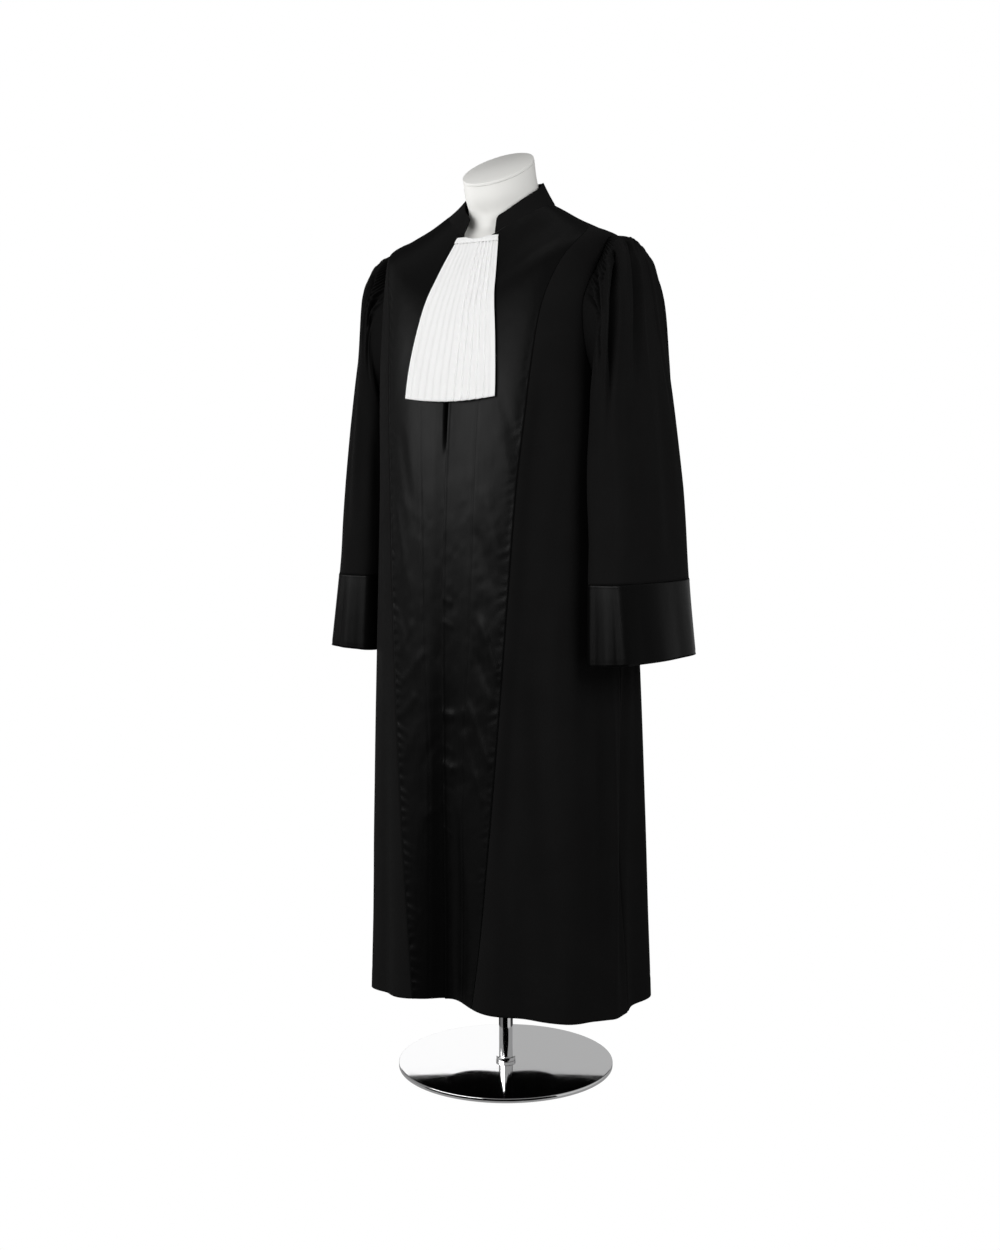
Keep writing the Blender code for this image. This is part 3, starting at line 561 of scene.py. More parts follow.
def lower_edge_relief(distance):
    """The crepe goes down and under the edge of the satin."""
    return -UNDER_STRIP_DEPTH * bell(np.maximum(distance - 0.9 * UNDER_STRIP, 0), UNDER_STRIP_TURN)


def pucker_relief(distance, down, puckers):
    """Small uneven puckers that a long seam draws up in satin."""
    total = np.zeros_like(distance)
    count = int(down.max() / puckers.spacing) + 2
    place = 0.0
    for number in range(count):
        wave = math.sin(2.39 * number + puckers.seed)
        other = math.sin(1.13 * number + 2.1 * puckers.seed)
        third = math.sin(4.7 * number + 0.6 * puckers.seed)
        place += puckers.spacing * (1 + puckers.unevenness * wave)
        length = puckers.reach * (1 + 1.2 * puckers.unevenness * other)
        depth = puckers.depth * (0.75 + puckers.unevenness * third)
        slant = 0.35 * other + 0.12
        off = down - place - slant * distance
        trough = bell(off, PUCKER_WIDTH * (1 + 0.2 * wave))
        swell = 0.5 * bell(off - PUCKER_SWELL, PUCKER_SWELL_WIDTH)
        total -= depth * (trough - swell) * bell(distance, length)
    return total * smooth_step(distance / 0.005)


def crumple_share(z, from_seam):
    """The satin lies smooth on the shoulders and is crumpled most at half its height."""
    return (0.25 + 0.75 * smooth_step((1.16 - z) / 0.30)) * smooth_step(from_seam / 0.008)


def hem_relief(z_above_hem):
    """The blind hem, 36 mm deep, shows as a faint line and a slightly thicker edge."""
    line = band_relief(z_above_hem, HEM_LINE_BANDS)
    return line + HEM_THICKER * smooth_step((0.034 - z_above_hem) / 0.004)


def crease_relief(degrees, z):
    """Shallow creases of the crepe, which fade at both ends."""
    total = np.zeros_like(z)
    for crease in CREPE_CREASES:
        fall = (crease.z - z) / (crease.z - crease.z_end)
        middle = crease.angle + (crease.angle_end - crease.angle) * np.clip(fall, 0, 1)
        fade = smooth_step(fall * 2.5) * smooth_step((1.12 - fall) * 2.5)
        total += crease.height * fade * bell(turn_between(degrees, middle), crease.width)
    return total


def soft_waves(angle, z):
    """Slow unevenness of cloth that hangs free. It runs on across the seams."""
    free = smooth_step((1.40 - z) / 0.25)
    return WAVE_HEIGHT * free * (
        0.5 * np.sin(9 * angle + 3.1 * z)
        + 0.3 * np.sin(17 * angle - 5.3 * z + 1.7)
        + 0.2 * np.sin(5 * angle + 11.7 * z + 2.3)
    )


def lattice_noise(across, down, cell, seed):
    """Smooth random heights from -1 to 1 that change over one cell."""
    columns, rows = NOISE_SHAPE
    values = np.random.default_rng(seed).uniform(-1, 1, (columns, rows))
    column = across / cell + 20
    row = down / cell + 2
    low_column = np.floor(column).astype(int)
    low_row = np.floor(row).astype(int)

    def along_row(number):
        start = values[low_column % columns, number % rows]
        end = values[(low_column + 1) % columns, number % rows]
        return blend(start, end, smooth_step(column - low_column))

    return blend(along_row(low_row), along_row(low_row + 1), smooth_step(row - low_row))


def crumple(across, down, seed):
    """Fine unevenness of light satin, a little longer along the threads."""
    slanted = down + 0.35 * across
    large = lattice_noise(across, slanted * 0.8, CRUMPLE_LARGE.width, seed)
    small = lattice_noise(across, slanted * 0.9, CRUMPLE_SMALL.width, seed + 1)
    return CRUMPLE_LARGE.height * large + CRUMPLE_SMALL.height * small


# Meshes

def grid_faces(rows, columns, closed=False, flipped=False, first=0):
    """Four-sided faces of a grid of points. A closed one runs round to its first column again."""
    row = np.arange(rows - 1)[:, None]
    column = np.arange(columns if closed else columns - 1)[None, :]
    beside = (column + 1) % columns
    a = first + row * columns + column
    b = first + row * columns + beside
    faces = np.stack([a, a + columns, b + columns, b], axis=-1).reshape(-1, 4)
    return faces[:, ::-1] if flipped else faces


def new_piece(name, points, faces, look, nodes):
    """A smooth piece of the object, which rides on the part's only body."""
    mesh = bpy.data.meshes.new(name)
    mesh.from_pydata(np.asarray(points).reshape(-1, 3).tolist(), [], [list(face) for face in faces])
    mesh.update()
    mesh.shade_smooth()
    mesh.materials.append(LOOKS[look])
    piece = bpy.data.objects.new(name, mesh)
    bpy.context.scene.collection.objects.link(piece)
    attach(piece, "root")
    if nodes:
        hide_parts(*nodes)
    return piece


def give_wall(piece, wall):
    solid = piece.modifiers.new("wall", "SOLIDIFY")
    solid.thickness = wall
    solid.offset = -1.0
    solid.use_rim = True


def cloth(name, points, look, node, wall, faces=None):
    """A wall of cloth over a grid of points."""
    if faces is None:
        faces = grid_faces(*points.shape[:2])
    piece = new_piece(name, points, faces, look, [node])
    give_wall(piece, wall)
    return piece


# The robe's panels

def panel_grid(rows, left, right, columns, closeness=0.55):
    shares = edge_shares(columns, closeness)
    start = left(rows)[:, None]
    end = right(rows)[:, None]
    angle = start + (end - start) * shares
    t = np.broadcast_to(rows[:, None], angle.shape)
    return angle, t


def panel_frame(angle, t):
    """The panel's points and its distances: from its left seam, from its right seam and down."""
    points = body_surface(angle, t)
    across = lengths_across(points)
    down = np.broadcast_to(lengths_across(points[:, points.shape[1] // 2][None])[0][:, None], angle.shape)
    return points, across, across[:, -1:] - across, down


def above_hem(points):
    return points[..., 2] - points[-1:, :, 2]


def neck_rows_share(t, rows):
    return smooth_step(t / rows)


# The stitched lines of the front facings, by row and angle in degrees.
StitchPoint = namedtuple("StitchPoint", "t degrees")
STITCH_LEFT = (
    StitchPoint(1.0, 26.0), StitchPoint(4.0, 20.0), StitchPoint(6.6, 16.9), StitchPoint(8.7, 14.2),
    StitchPoint(9.45, 12.9), StitchPoint(10.4, 8.4), StitchPoint(11.5, 7.8), StitchPoint(HEM, 6.6),
)
STITCH_RIGHT = (
    StitchPoint(1.0, -27.0), StitchPoint(4.0, -21.0), StitchPoint(6.6, -17.9), StitchPoint(8.7, -15.0),
    StitchPoint(9.45, -14.0), StitchPoint(10.4, -11.4), StitchPoint(11.5, -11.8), StitchPoint(HEM, -11.6),
)
STITCH_PITCH = 0.0034
STITCH_LENGTH = 0.0024
STITCH_RADIUS = 0.00028
STITCH_SIDES = 6

# Places along a stitch and its thickness there, as shares.
STITCH_RINGS = ((0.0, 0.35), (0.25, 1.0), (0.75, 1.0), (1.0, 0.35))

# What sets the two satin bands apart.
Puckers = namedtuple("Puckers", "seed spacing depth reach unevenness")
PUCKER_WIDTH = 0.0038
PUCKER_SWELL = 0.0080
PUCKER_SWELL_WIDTH = 0.0042
SatinPlan = namedtuple(
    "SatinPlan", "node side columns closeness puckers crumple_seed wrinkles stitches stitched_line"
)
SATIN_PLANS = (
    SatinPlan(
        "satin_left", 1, 68, 0.5, Puckers(0.4, 0.0165, 0.00068, 0.012, 0.32), 11, SATIN_WRINKLES_LEFT,
        "topstitch_left", STITCH_LEFT,
    ),
    SatinPlan(
        "satin_right", -1, 74, 0.35, Puckers(1.9, 0.0180, 0.00170, 0.014, 0.14), 23, SATIN_WRINKLES_RIGHT,
        "topstitch_right", STITCH_RIGHT,
    ),
)
SATIN_ROWS = 310
SATIN_MIDDLE_X = 0.05
LAP_THICKER = 0.0008
LAP_LIFT = 0.0024
LAP_LIFT_Z = 1.135
LAP_OPENS = 0.0026
UNDERLAP_HOLLOW = 0.0110


def lap_relief(from_lap, z):
    """The folded edge is a little thicker than the rest and stands up under the jabot."""
    edge = LAP_THICKER * smooth_step((0.006 - from_lap) / 0.004)
    lifted = LAP_LIFT * bell(from_lap, 0.016) * bell(z - LAP_LIFT_Z, 0.055)
    return edge + lifted


def lap_gap(from_lap, z):
    """The edge draws aside where the jabot's weight opens the front."""
    return LAP_OPENS * bell(from_lap, 0.020) * smooth_step((z - 1.05) / 0.10)


def underlap_relief(x, z):
    """The lower satin goes down and under the lap, and deeper where the front opens."""
    under = -UNDERLAP_DROP * smooth_step((x + UNDERLAP_RAMP) / (UNDERLAP_RAMP - UNDERLAP_MARGIN))
    open_front = -UNDERLAP_HOLLOW * smooth_step((x + 0.010) / 0.008) * smooth_step((z - 1.06) / 0.10)
    return under + open_front


def satin(plan):
    """A front band of satin, from its lapping edge to its seam with the crepe."""
    over = plan.side > 0

    def seam(t):
        return plan.side * satin_seam(t, plan.side)

    def edge(t):
        return angle_at_x(t, lap_edge(t) + (0.0 if over else UNDERLAP_X))

    rows = even_rows(lambda t: angle_at_x(t, plan.side * SATIN_MIDDLE_X + 0 * t), 0.0, HEM, SATIN_ROWS)
    left, right = (edge, seam) if over else (seam, edge)
    angle, t = panel_grid(rows, left, right, plan.columns, plan.closeness)
    points, from_left, from_right, down = panel_frame(angle, t)
    from_seam = from_right if over else from_left
    z = points[..., 2]
    x = points[..., 0] - lap_edge(t)
    height = band_relief(from_seam, FOLDED_EDGE_BANDS) * neck_rows_share(t, 2.0)
    height += pucker_relief(from_seam, down, plan.puckers) * smooth_step((t - 3.0) / 1.5)
    height += hem_relief(above_hem(points))
    height += sum(
        stroke(x, z, (row.x, row.z), (row.x_end, row.z_end), row.width, row.height) for row in plan.wrinkles
    )
    height += soft_waves(angle, z)
    height += crumple(from_left, down, plan.crumple_seed) * crumple_share(z, from_seam)
    height += placket_relief(np.degrees(angle), t, plan.stitched_line)
    height += lap_relief(from_left, z) if over else underlap_relief(x, z)
    points = raised(points, height)
    if over:
        points[..., 0] += lap_gap(from_left, z)
    cloth("robe_" + plan.node, points, "satin", plan.node, WALL)
    stitches(plan.stitches, plan.stitched_line, rows, angle, points)


def stitch_angle(t, line):
    return np.interp(t, [point.t for point in line], [point.degrees for point in line])


def placket_relief(degrees, t, line):
    """A stitched line draws the cloth in a little."""
    off = np.radians(degrees - stitch_angle(t, line)) * body_ring(t).front
    return band_relief(np.abs(off), STITCHED_BANDS)


def stitches(name, line, rows, angle, points):
    """A row of short threads that lie on the cloth along a stitched line."""
    wanted = np.radians(stitch_angle(rows, line))
    path = []
    for row in range(len(rows)):
        place = np.interp(wanted[row], angle[row], np.arange(angle.shape[1]))
        low = min(int(place), angle.shape[1] - 2)
        path.append(blend(points[row, low], points[row, low + 1], place - low))
    path = np.array(path)
    steps = np.linalg.norm(np.diff(path, axis=0), axis=-1)
    along = np.concatenate([[0.0], np.cumsum(steps)])
    normals = grid_normals(points)[:, points.shape[1] // 4]
    starts = np.arange(0.004, along[-1] - 0.004, STITCH_PITCH)
    corners = []
    faces = []
    for start in starts:
        ends = [
            np.array([np.interp(place, along, path[:, axis]) for axis in range(3)])
            for place in (start, start + STITCH_LENGTH)
        ]
        up = normals[min(np.searchsorted(along, start), len(normals) - 1)]
        add_thread(corners, faces, ends, up)
    new_piece(name, corners, faces, "thread", [])


def add_thread(corners, faces, ends, up):
    """One stitch: a short six-sided thread that tapers into the cloth at both ends."""
    run = ends[1] - ends[0]
    run = run / np.linalg.norm(run)
    side = np.cross(up, run)
    first = len(corners)
    for share, size in STITCH_RINGS:
        middle = blend(ends[0], ends[1], share) + up * STITCH_RADIUS * (size - 0.7)
        for corner in range(STITCH_SIDES):
            turn = 2 * math.pi * corner / STITCH_SIDES
            corners.append(middle + (side * math.cos(turn) + up * math.sin(turn)) * STITCH_RADIUS * size)
    last = first + (len(STITCH_RINGS) - 1) * STITCH_SIDES
    for a in range(first, last, STITCH_SIDES):
        for corner in range(STITCH_SIDES):
            beside = (corner + 1) % STITCH_SIDES
            b = a + STITCH_SIDES
            faces.append((a + corner, a + beside, b + beside, b + corner))
    faces.append(tuple(first + corner for corner in reversed(range(STITCH_SIDES))))
    faces.append(tuple(last + corner for corner in range(STITCH_SIDES)))


def crepe_front(node, side):
    """The crepe between the satin band and the side seam, with the front half of the armhole."""

    def inner(t):
        return satin_seam(t, side) - UNDER_STRIP / body_ring(t).half_width

    def outer(t):
        return under_sleeve(t, armhole_front_angle(t))

    row_count, columns = CREPE_GRID
    rows = even_rows(lambda t: 0.5 * (inner(t) + outer(t)), SATIN_TOP + 0.05, HEM, row_count)
    if side > 0:
        angle, t = panel_grid(rows, inner, outer, columns)
    else:
        angle, t = panel_grid(rows, lambda t: -outer(t), lambda t: -inner(t), columns)
    points, from_left, from_right, down = panel_frame(angle, t)
    z = points[..., 2]
    from_satin = from_left if side > 0 else from_right
    from_side = from_right if side > 0 else from_left
    height = lower_edge_relief(from_satin) + side_relief(from_side, t, armhole_front_angle(t))
    height += crease_relief(np.degrees(angle), z) * smooth_step(from_satin / 0.03)
    height += hem_relief(above_hem(points))
    height += soft_waves(angle, z)
    if side > 0:
        height += trough_relief(from_satin, z)
    points = raised(points, height)
    cloth("robe_" + node, points, "crepe", node, WALL)


def trough_relief(from_satin, z):
    """Beside the wearer's left satin the crepe falls away into a long shallow trough."""
    share = smooth_step((1.26 - z) / 0.16) * smooth_step((z - 0.25) / 0.25)
    width = np.where(from_satin < TROUGH_PLACE, TROUGH_WIDTH_NEAR, TROUGH_WIDTH_FAR)
    return -TROUGH_DEPTH * share * bell(from_satin - TROUGH_PLACE, width)


def under_sleeve(t, opening):
    """Angle of a panel's side edge, which goes a little way under the sleeve's edge."""
    return math.pi / 2 - np.maximum(opening - UNDER_STRIP / body_ring(t).half_width, 0.0)


def side_relief(distance, t, opening):
    """The panel dips into its side seam, and under the sleeve where there is one."""
    strip = np.minimum(opening * body_ring(t).half_width, UNDER_STRIP)
    share = strip / UNDER_STRIP
    return blend(band_relief(distance, SEAM_BANDS), lower_edge_relief(distance), share)


def back():
    """One width of crepe, with the back halves of both armholes."""

    def left(t):
        return math.pi - under_sleeve(t, armhole_half_angle(t))

    row_count, columns = BACK_GRID
    rows = even_rows(lambda t: math.pi + 0 * t, 0.0, HEM, row_count)
    angle, t = panel_grid(rows, left, lambda t: 2 * math.pi - left(t), columns, 0.3)
    points, from_left, from_right, down = panel_frame(angle, t)
    z = points[..., 2]
    opening = armhole_half_angle(t)
    height = side_relief(from_left, t, opening) + side_relief(from_right, t, opening)
    height *= neck_rows_share(t, 1.0)
    height += crease_relief(np.degrees(angle), z)
    height += hem_relief(above_hem(points))
    height += soft_waves(angle, z)
    points = raised(points, height)
    cloth("robe_back", points, "crepe", "back", WALL)


# The stand collar

def collar_top(angle):
    """The collar's top edge, which rises towards the back."""
    side = np.sin(angle)
    ahead = np.cos(angle)
    depth = np.where(ahead > 0, COLLAR_TOP_FRONT + COLLAR_TOP_Y, COLLAR_TOP_BACK - COLLAR_TOP_Y)
    reach = oval_reach(side, ahead, COLLAR_TOP_HALF_WIDTH, depth, 2)
    z = np.interp(np.degrees(np.arccos(np.clip(ahead, -1, 1))), COLLAR_TOP_DEGREES, COLLAR_TOP_HEIGHTS)
    return np.stack([reach * side, COLLAR_TOP_Y - reach * ahead, z], axis=-1)


def collar():
    """A stand collar that leans on the neck, with rounded ends at the front."""
    first = float(angle_at_x(np.array(0.0), COLLAR_END_X))
    last = 2 * math.pi - first
    row_count, columns = COLLAR_GRID
    shares = edge_shares(columns, 0.8)
    angle = first + (last - first) * shares
    from_end = np.minimum(angle - first, last - angle)
    corner = 1 - np.minimum(from_end / COLLAR_END_ROUNDING, 1.0)
    reach = 1 - COLLAR_END_DROP * (1 - np.sqrt(1 - corner ** 2))
    level = np.linspace(1.0, -COLLAR_FOOT, row_count)[:, None]
    from_front = np.abs(turn_between(np.degrees(angle), 0))
    foot_rows = np.interp(from_front, COLLAR_FOOT_DEGREES, COLLAR_FOOT_ROWS)
    foot = body_surface(angle, foot_rows)
    top = collar_top(angle)
    height = (level * reach)[..., None]
    grid = foot + (top - foot) * height
    relief = band_relief((1 - level) * COLLAR_HEIGHT, COLLAR_SEAM_BANDS)
    relief = relief + COLLAR_WAVE * (np.sin(math.pi * level) + np.sin(7 * angle + 1.3) * level)
    hollow = COLLAR_HOLLOW * foot_rows / max(COLLAR_FOOT_ROWS)
    relief = relief - hollow * np.sin(math.pi * np.clip(level, 0, 1))
    points = raised(grid, np.broadcast_to(relief, grid.shape[:2]))
    piece = cloth("robe_collar", points, "crepe", "collar", COLLAR_WALL)
    soften = piece.modifiers.new("edge", "BEVEL")
    soften.width = COLLAR_EDGE
    soften.segments = 2
    soften.limit_method = "ANGLE"


# The jabot

def jabot_half_width(z, place):
    """Half width on the side where the place is, as the jabot fans out downwards."""
    fall = np.clip((JABOT_TOP_Z - z) / (JABOT_TOP_Z - JABOT_BOTTOM_Z), 0, 1)
    left = JABOT_BOTTOM_LEFT + (JABOT_TOP_HALF - JABOT_BOTTOM_LEFT) * (1 - fall) ** JABOT_SPREAD_LEFT
    right = JABOT_BOTTOM_RIGHT + (JABOT_TOP_HALF - JABOT_BOTTOM_RIGHT) * (1 - fall) ** JABOT_SPREAD_RIGHT
    return np.where(place > 0, left, right)


def jabot_lift(z):
    fall = (JABOT_TOP_Z - z) / (JABOT_TOP_Z - JABOT_BOTTOM_Z)
    return JABOT_LIFT_TOP + JABOT_LIFT_GAIN * fall


def front_rows(x, z):
    """The robe's rows where its front passes x and z."""
    low = np.zeros_like(x)
    high = np.full_like(x, HEM)
    for _ in range(40):
        middle = (low + high) / 2
        above = body_surface(angle_at_x(middle, x), middle)[..., 2] > z
        low = np.where(above, middle, low)
        high = np.where(above, high, middle)
    return low


def on_front(x, z, lift):
    """Points at a lift over the robe's front at x and z."""
    t = front_rows(x, z)
    angle = angle_at_x(t, x)
    turn = 0.01
    step = 0.02
    across = body_surface(angle + turn, t) - body_surface(angle - turn, t)
    down = body_surface(angle, np.minimum(t + step, HEM)) - body_surface(angle, np.maximum(t - step, 0))
    normal = np.cross(down, across)
    normal /= np.linalg.norm(normal, axis=-1, keepdims=True)
    return body_surface(angle, t) + normal * lift[..., None]


def pleat_width():
    return 2 * (1 - JABOT_BORDER) / JABOT_PLEATS


def pleat_profile(place):
    """Height of the knife pleats, from 0 to 1. Each one slopes up outwards and then drops sharply."""
    outward = np.abs(place - JABOT_PLEAT_CENTRE) / pleat_width() + 0.5
    part = outward - np.floor(outward)
    slope = smooth_step(part / JABOT_PLEAT_TURN)
    drop = 1 - smooth_step((part - JABOT_PLEAT_TURN) / (1 - JABOT_PLEAT_TURN))
    return np.where(np.abs(place) > 1 - JABOT_BORDER, 0.0, slope * drop)


def jabot_places():
    """Columns of the jabot, closest together at the sharp edge of each pleat."""
    places = []
    for number in range(JABOT_PLEATS):
        outward = [(number - 0.5 + step) * pleat_width() for step in JABOT_PLEAT_COLUMNS]
        places += [JABOT_PLEAT_CENTRE + value for value in outward if value >= 0]
        places += [JABOT_PLEAT_CENTRE - value for value in outward if value > 0]
    inner = [place for place in places if abs(place) < 1 - JABOT_BORDER - 0.002]
    border = np.linspace(1 - JABOT_BORDER, 1, JABOT_BORDER_COLUMNS).tolist()
    return np.array(sorted(inner + border + [-place for place in border]))[None, :]


def jabot():
    """Knife pleats with a flat border on both sides and a narrow hem."""
    start = JABOT_TOP_Z - JABOT_BAND - CONTACT_GAP
    place = jabot_places()
    end = JABOT_BOTTOM_Z + JABOT_ROUNDING * place ** 2
    fall = np.linspace(0, 1, JABOT_ROW_COUNT)[:, None]
    z = start + (end - start) * fall
    place = np.broadcast_to(place, z.shape)
    half = jabot_half_width(z, place)
    x = JABOT_SHIFT + place * half
    height = JABOT_PLEAT_HEIGHT * pleat_profile(place) * (0.75 + 0.25 * fall)
    height = height + JABOT_RIPPLE * np.sin(9 * place + 14 * z) * smooth_step((start - z) / 0.08)
    height = height + JABOT_HEM_THICKER * smooth_step((JABOT_HEM - (z - end)) / JABOT_HEM_STEP)
    from_side = (1 - np.abs(place)) * half
    height = height + JABOT_SIDE_HEM_THICKER * smooth_step((JABOT_SIDE_HEM - from_side) / JABOT_HEM_STEP)
    points = on_front(x, z, jabot_lift(z) + height)
    cloth("jabot_pleats", points, "cotton", "jabot", JABOT_WALL)


def jabot_band():
    """The narrow strip that the pleats hang from."""
    row_count, columns = BAND_GRID
    z = np.linspace(JABOT_TOP_Z, JABOT_TOP_Z - JABOT_BAND, row_count)[:, None]
    place = np.linspace(-1, 1, columns)[None, :]
    x = JABOT_SHIFT + place * (jabot_half_width(z, place) + BAND_WIDER)
    z = np.broadcast_to(z, x.shape)
    fall = (JABOT_TOP_Z - z) / JABOT_BAND
    swell = BAND_SWELL * np.sin(math.pi * fall)
    waves = np.cos(2 * math.pi * (9 * place + 0.2 * np.sin(9 * place)))
    gathers = BAND_GATHER * waves * smooth_step(fall * 3)
    points = on_front(x, z, jabot_lift(z) + BAND_LIFT + swell + gathers)
    cloth("jabot_neckband", points, "cotton", "jabot_band", BAND_WALL)


# Sleeves and cuffs

def armhole_edge(angle, side):
    """The armhole's edge at an angle from its top towards the front."""
    t = ARMHOLE_MIDDLE - ARMHOLE_HALF * np.cos(angle)
    skew = np.where(np.sin(angle) > 0, front_skew(np.cos(angle)), 1.0)
    opening = ARMHOLE_OPENING * np.sin(angle) * skew
    edge = body_surface(side * (math.pi / 2 - opening), t)
    centre = (
        body_surface(np.array(side * math.pi / 2), np.array(SHOULDER_TIP))
        + body_surface(np.array(side * math.pi / 2), np.array(ARMPIT))
    ) / 2
    inward = centre - edge
    return edge + inward / np.linalg.norm(inward, axis=-1, keepdims=True) * SEAM_GAP


def sleeve_surface(angle, u, side):
    """Points of a sleeve. The angle is from its top or outer side towards the front."""
    section = sleeve_section(u)
    outward = np.cos(angle)
    forward = np.sin(angle)
    power = blend(section.square, section.square_in, smooth_step(-outward / SQUARE_BLEND))
    reach = oval_reach(outward, forward, 1.0, 1.0, power)
    trim = SLEEVE_PLANS[side].trim
    x_out = section.x_out - np.interp(u, SLEEVE_ROWS, trim.outer)
    y_front = section.y_front + np.interp(u, SLEEVE_ROWS, trim.front)
    along_x = (x_out - section.x_in) / 2
    along_z = (section.z_out - section.z_in) / 2
    spread = np.where(forward > 0, y_front, -section.y_back)
    x = (x_out + section.x_in) / 2 + along_x * reach * outward
    corner = smooth_step(-1.6 * outward) * smooth_step(1.4 * forward) * smooth_step((u - 0.2) / 1.6)
    x = x - SLEEVE_CORNER * corner
    z = (section.z_out + section.z_in) / 2 + along_z * reach * outward
    return np.stack([side * x, spread * reach * forward, z], axis=-1)


def sleeve_relief(angle, u, side):
    """Long folds with a swell on both sides, gathers at the head and slow unevenness."""
    degrees = turn_between(np.degrees(angle), 0)
    total = np.zeros(np.broadcast(angle, u).shape)
    seed = SLEEVE_PLANS[side].seed
    for fold in SLEEVE_PLANS[side].folds:
        fall = (u - fold.u) / (fold.u_end - fold.u)
        middle = fold.angle + (fold.angle_end - fold.angle) * np.clip(fall, 0, 1)
        fade = smooth_step(fall * 4 + 0.2) * smooth_step((1 - fall) * 1.8 + 0.1)
        width = fold.width * (0.75 + 0.5 * np.clip(fall, 0, 1))
        total -= fold.depth * fade * bell(turn_between(degrees, middle), width)
        swell = bell(np.abs(turn_between(degrees, middle)) - 1.9 * width, 0.8 * width)
        total += SLEEVE_SWELL * fold.depth * fade * swell
    total += gather_relief(degrees, u, seed)
    total += SLEEVE_WAVE * np.sin(3 * angle + 1.9 * u + seed) * smooth_step(u / 2)
    return total


def gather_relief(degrees, u, seed):
    """Fine uneven gathers, which fade out down the sleeve's head."""
    phase = degrees / GATHER_STEP + 0.45 * np.sin(degrees / 13.0 + seed)
    start = smooth_step((degrees - GATHER_FIRST) / GATHER_FADE)
    end = smooth_step((GATHER_LAST - degrees) / GATHER_FADE)
    length = 1.05 + 0.35 * np.sin(degrees / 6.1 + 2 * seed)
    share = start * end * smooth_step(u / 0.05) * bell(u, length)
    return GATHER_HEIGHT * np.cos(2 * math.pi * phase) * share


def sleeve_points(angle, u, side):
    """Points of the sleeve. It leaves the armhole's edge and swells out over it."""
    shape = np.broadcast(angle, u).shape
    angle = np.broadcast_to(angle, shape)
    u = np.broadcast_to(u, shape)
    outer = sleeve_surface(angle, np.maximum(u, 0.0), side)
    edge = armhole_edge(angle, side)
    share = np.sin(np.clip(u / 0.45, 0, 1) * math.pi / 2)[..., None]
    return edge + (outer - edge) * share


def sleeve_columns():
    """Angles round a sleeve, closest together where its head is gathered."""
    gathered = GATHER_LAST - GATHER_FIRST
    fine = 2 * round(gathered / GATHER_STEP * COLUMNS_PER_GATHER / 2)
    close = GATHER_FIRST + gathered * np.arange(fine) / fine
    plain = GATHER_LAST + (360 - gathered) * np.arange(PLAIN_COLUMNS) / PLAIN_COLUMNS
    return np.radians(np.concatenate([close, plain])[::-1])


# Flutes of a cuff that hangs open: angle at its top and at its end, width and height.
Flute = namedtuple("Flute", "angle angle_end width height")
CUFF_FLUTES = table(Flute, (
    (134, 140, 6, 0.0026),
    (118, 120, 6, -0.0030),
    (103, 102, 6, 0.0026),
    (88, 86, 6, -0.0026),
    (70, 68, 7, 0.0020),
    (50, 46, 8, -0.0020),
    (28, 24, 9, 0.0014),
    (4, 0, 9, -0.0014),
    (-22, -26, 12, 0.0014),
    (-50, -54, 12, -0.0016),
    (-84, -88, 12, 0.0018),
    (-130, -134, 14, -0.0016),
))
CUFF_RAISED = 0.0008


def tube_faces(fine_rows, fine, coarse_rows, flipped):
    """Faces of a tube whose lower part has half as many columns as its upper part."""
    coarse = fine // 2
    above = (fine_rows - 1) * fine
    below = fine_rows * fine
    faces = [tuple(face) for face in grid_faces(fine_rows, fine, closed=True, flipped=flipped)]
    for column in range(coarse):
        a = above + 2 * column
        b = above + (2 * column + 1) % fine
        c = above + (2 * column + 2) % fine
        d = below + (column + 1) % coarse
        face = (a, below + column, d, c, b)
        faces.append(face[::-1] if flipped else face)
    lower = grid_faces(coarse_rows, coarse, closed=True, flipped=flipped, first=below)
    return faces + [tuple(face) for face in lower]


def sleeve(node, side):
    """A wide sleeve. Its head has twice as many columns as the rest of it."""
    angle = sleeve_columns()[None, :]
    head_rows = np.concatenate([HEAD_FIRST_ROWS, HEAD_ROWS])
    arm_rows = np.linspace(ARM_START, SLEEVE_END, ARM_ROW_COUNT)
    rows = np.concatenate([head_rows, arm_rows])[:, None]
    points = sleeve_points(angle, rows, side)
    points = points + grid_normals(points, closed=True) * side * sleeve_relief(angle, rows, side)[..., None]
    head = points[: len(head_rows)].reshape(-1, 3)
    arm = points[len(head_rows):, ::2].reshape(-1, 3)
    faces = tube_faces(len(head_rows), angle.size, len(arm_rows), side < 0)
    cloth("robe_" + node, np.concatenate([head, arm]), "crepe", node, WALL, faces)


def cuff(node, side):
    """A satin cuff, which carries on the sleeve's shape."""
    angle = -2 * math.pi * np.arange(CUFF_COLUMNS)[None, :] / CUFF_COLUMNS
    length = SLEEVE_TABLE[-2].z_out - SLEEVE_TABLE[-1].z_out
    start = SLEEVE_END + CONTACT_GAP / length
    u = np.linspace(start, CUFF_END, CUFF_ROW_COUNT)[:, None]
    height = CUFF_RAISED + band_relief((u - start) * length, CUFF_TOP_BANDS)
    height = height + band_relief((CUFF_END - u) * length, CUFF_END_BANDS)
    height = height + cuff_flutes(angle, u - SLEEVE_END)
    points = sleeve_points(angle, u, side)
    points = points + grid_normals(points, closed=True) * side * height[..., None]
    faces = grid_faces(CUFF_ROW_COUNT, CUFF_COLUMNS, closed=True, flipped=side < 0)
    cloth("robe_" + node, points, "satin", node, CUFF_WALL, faces)


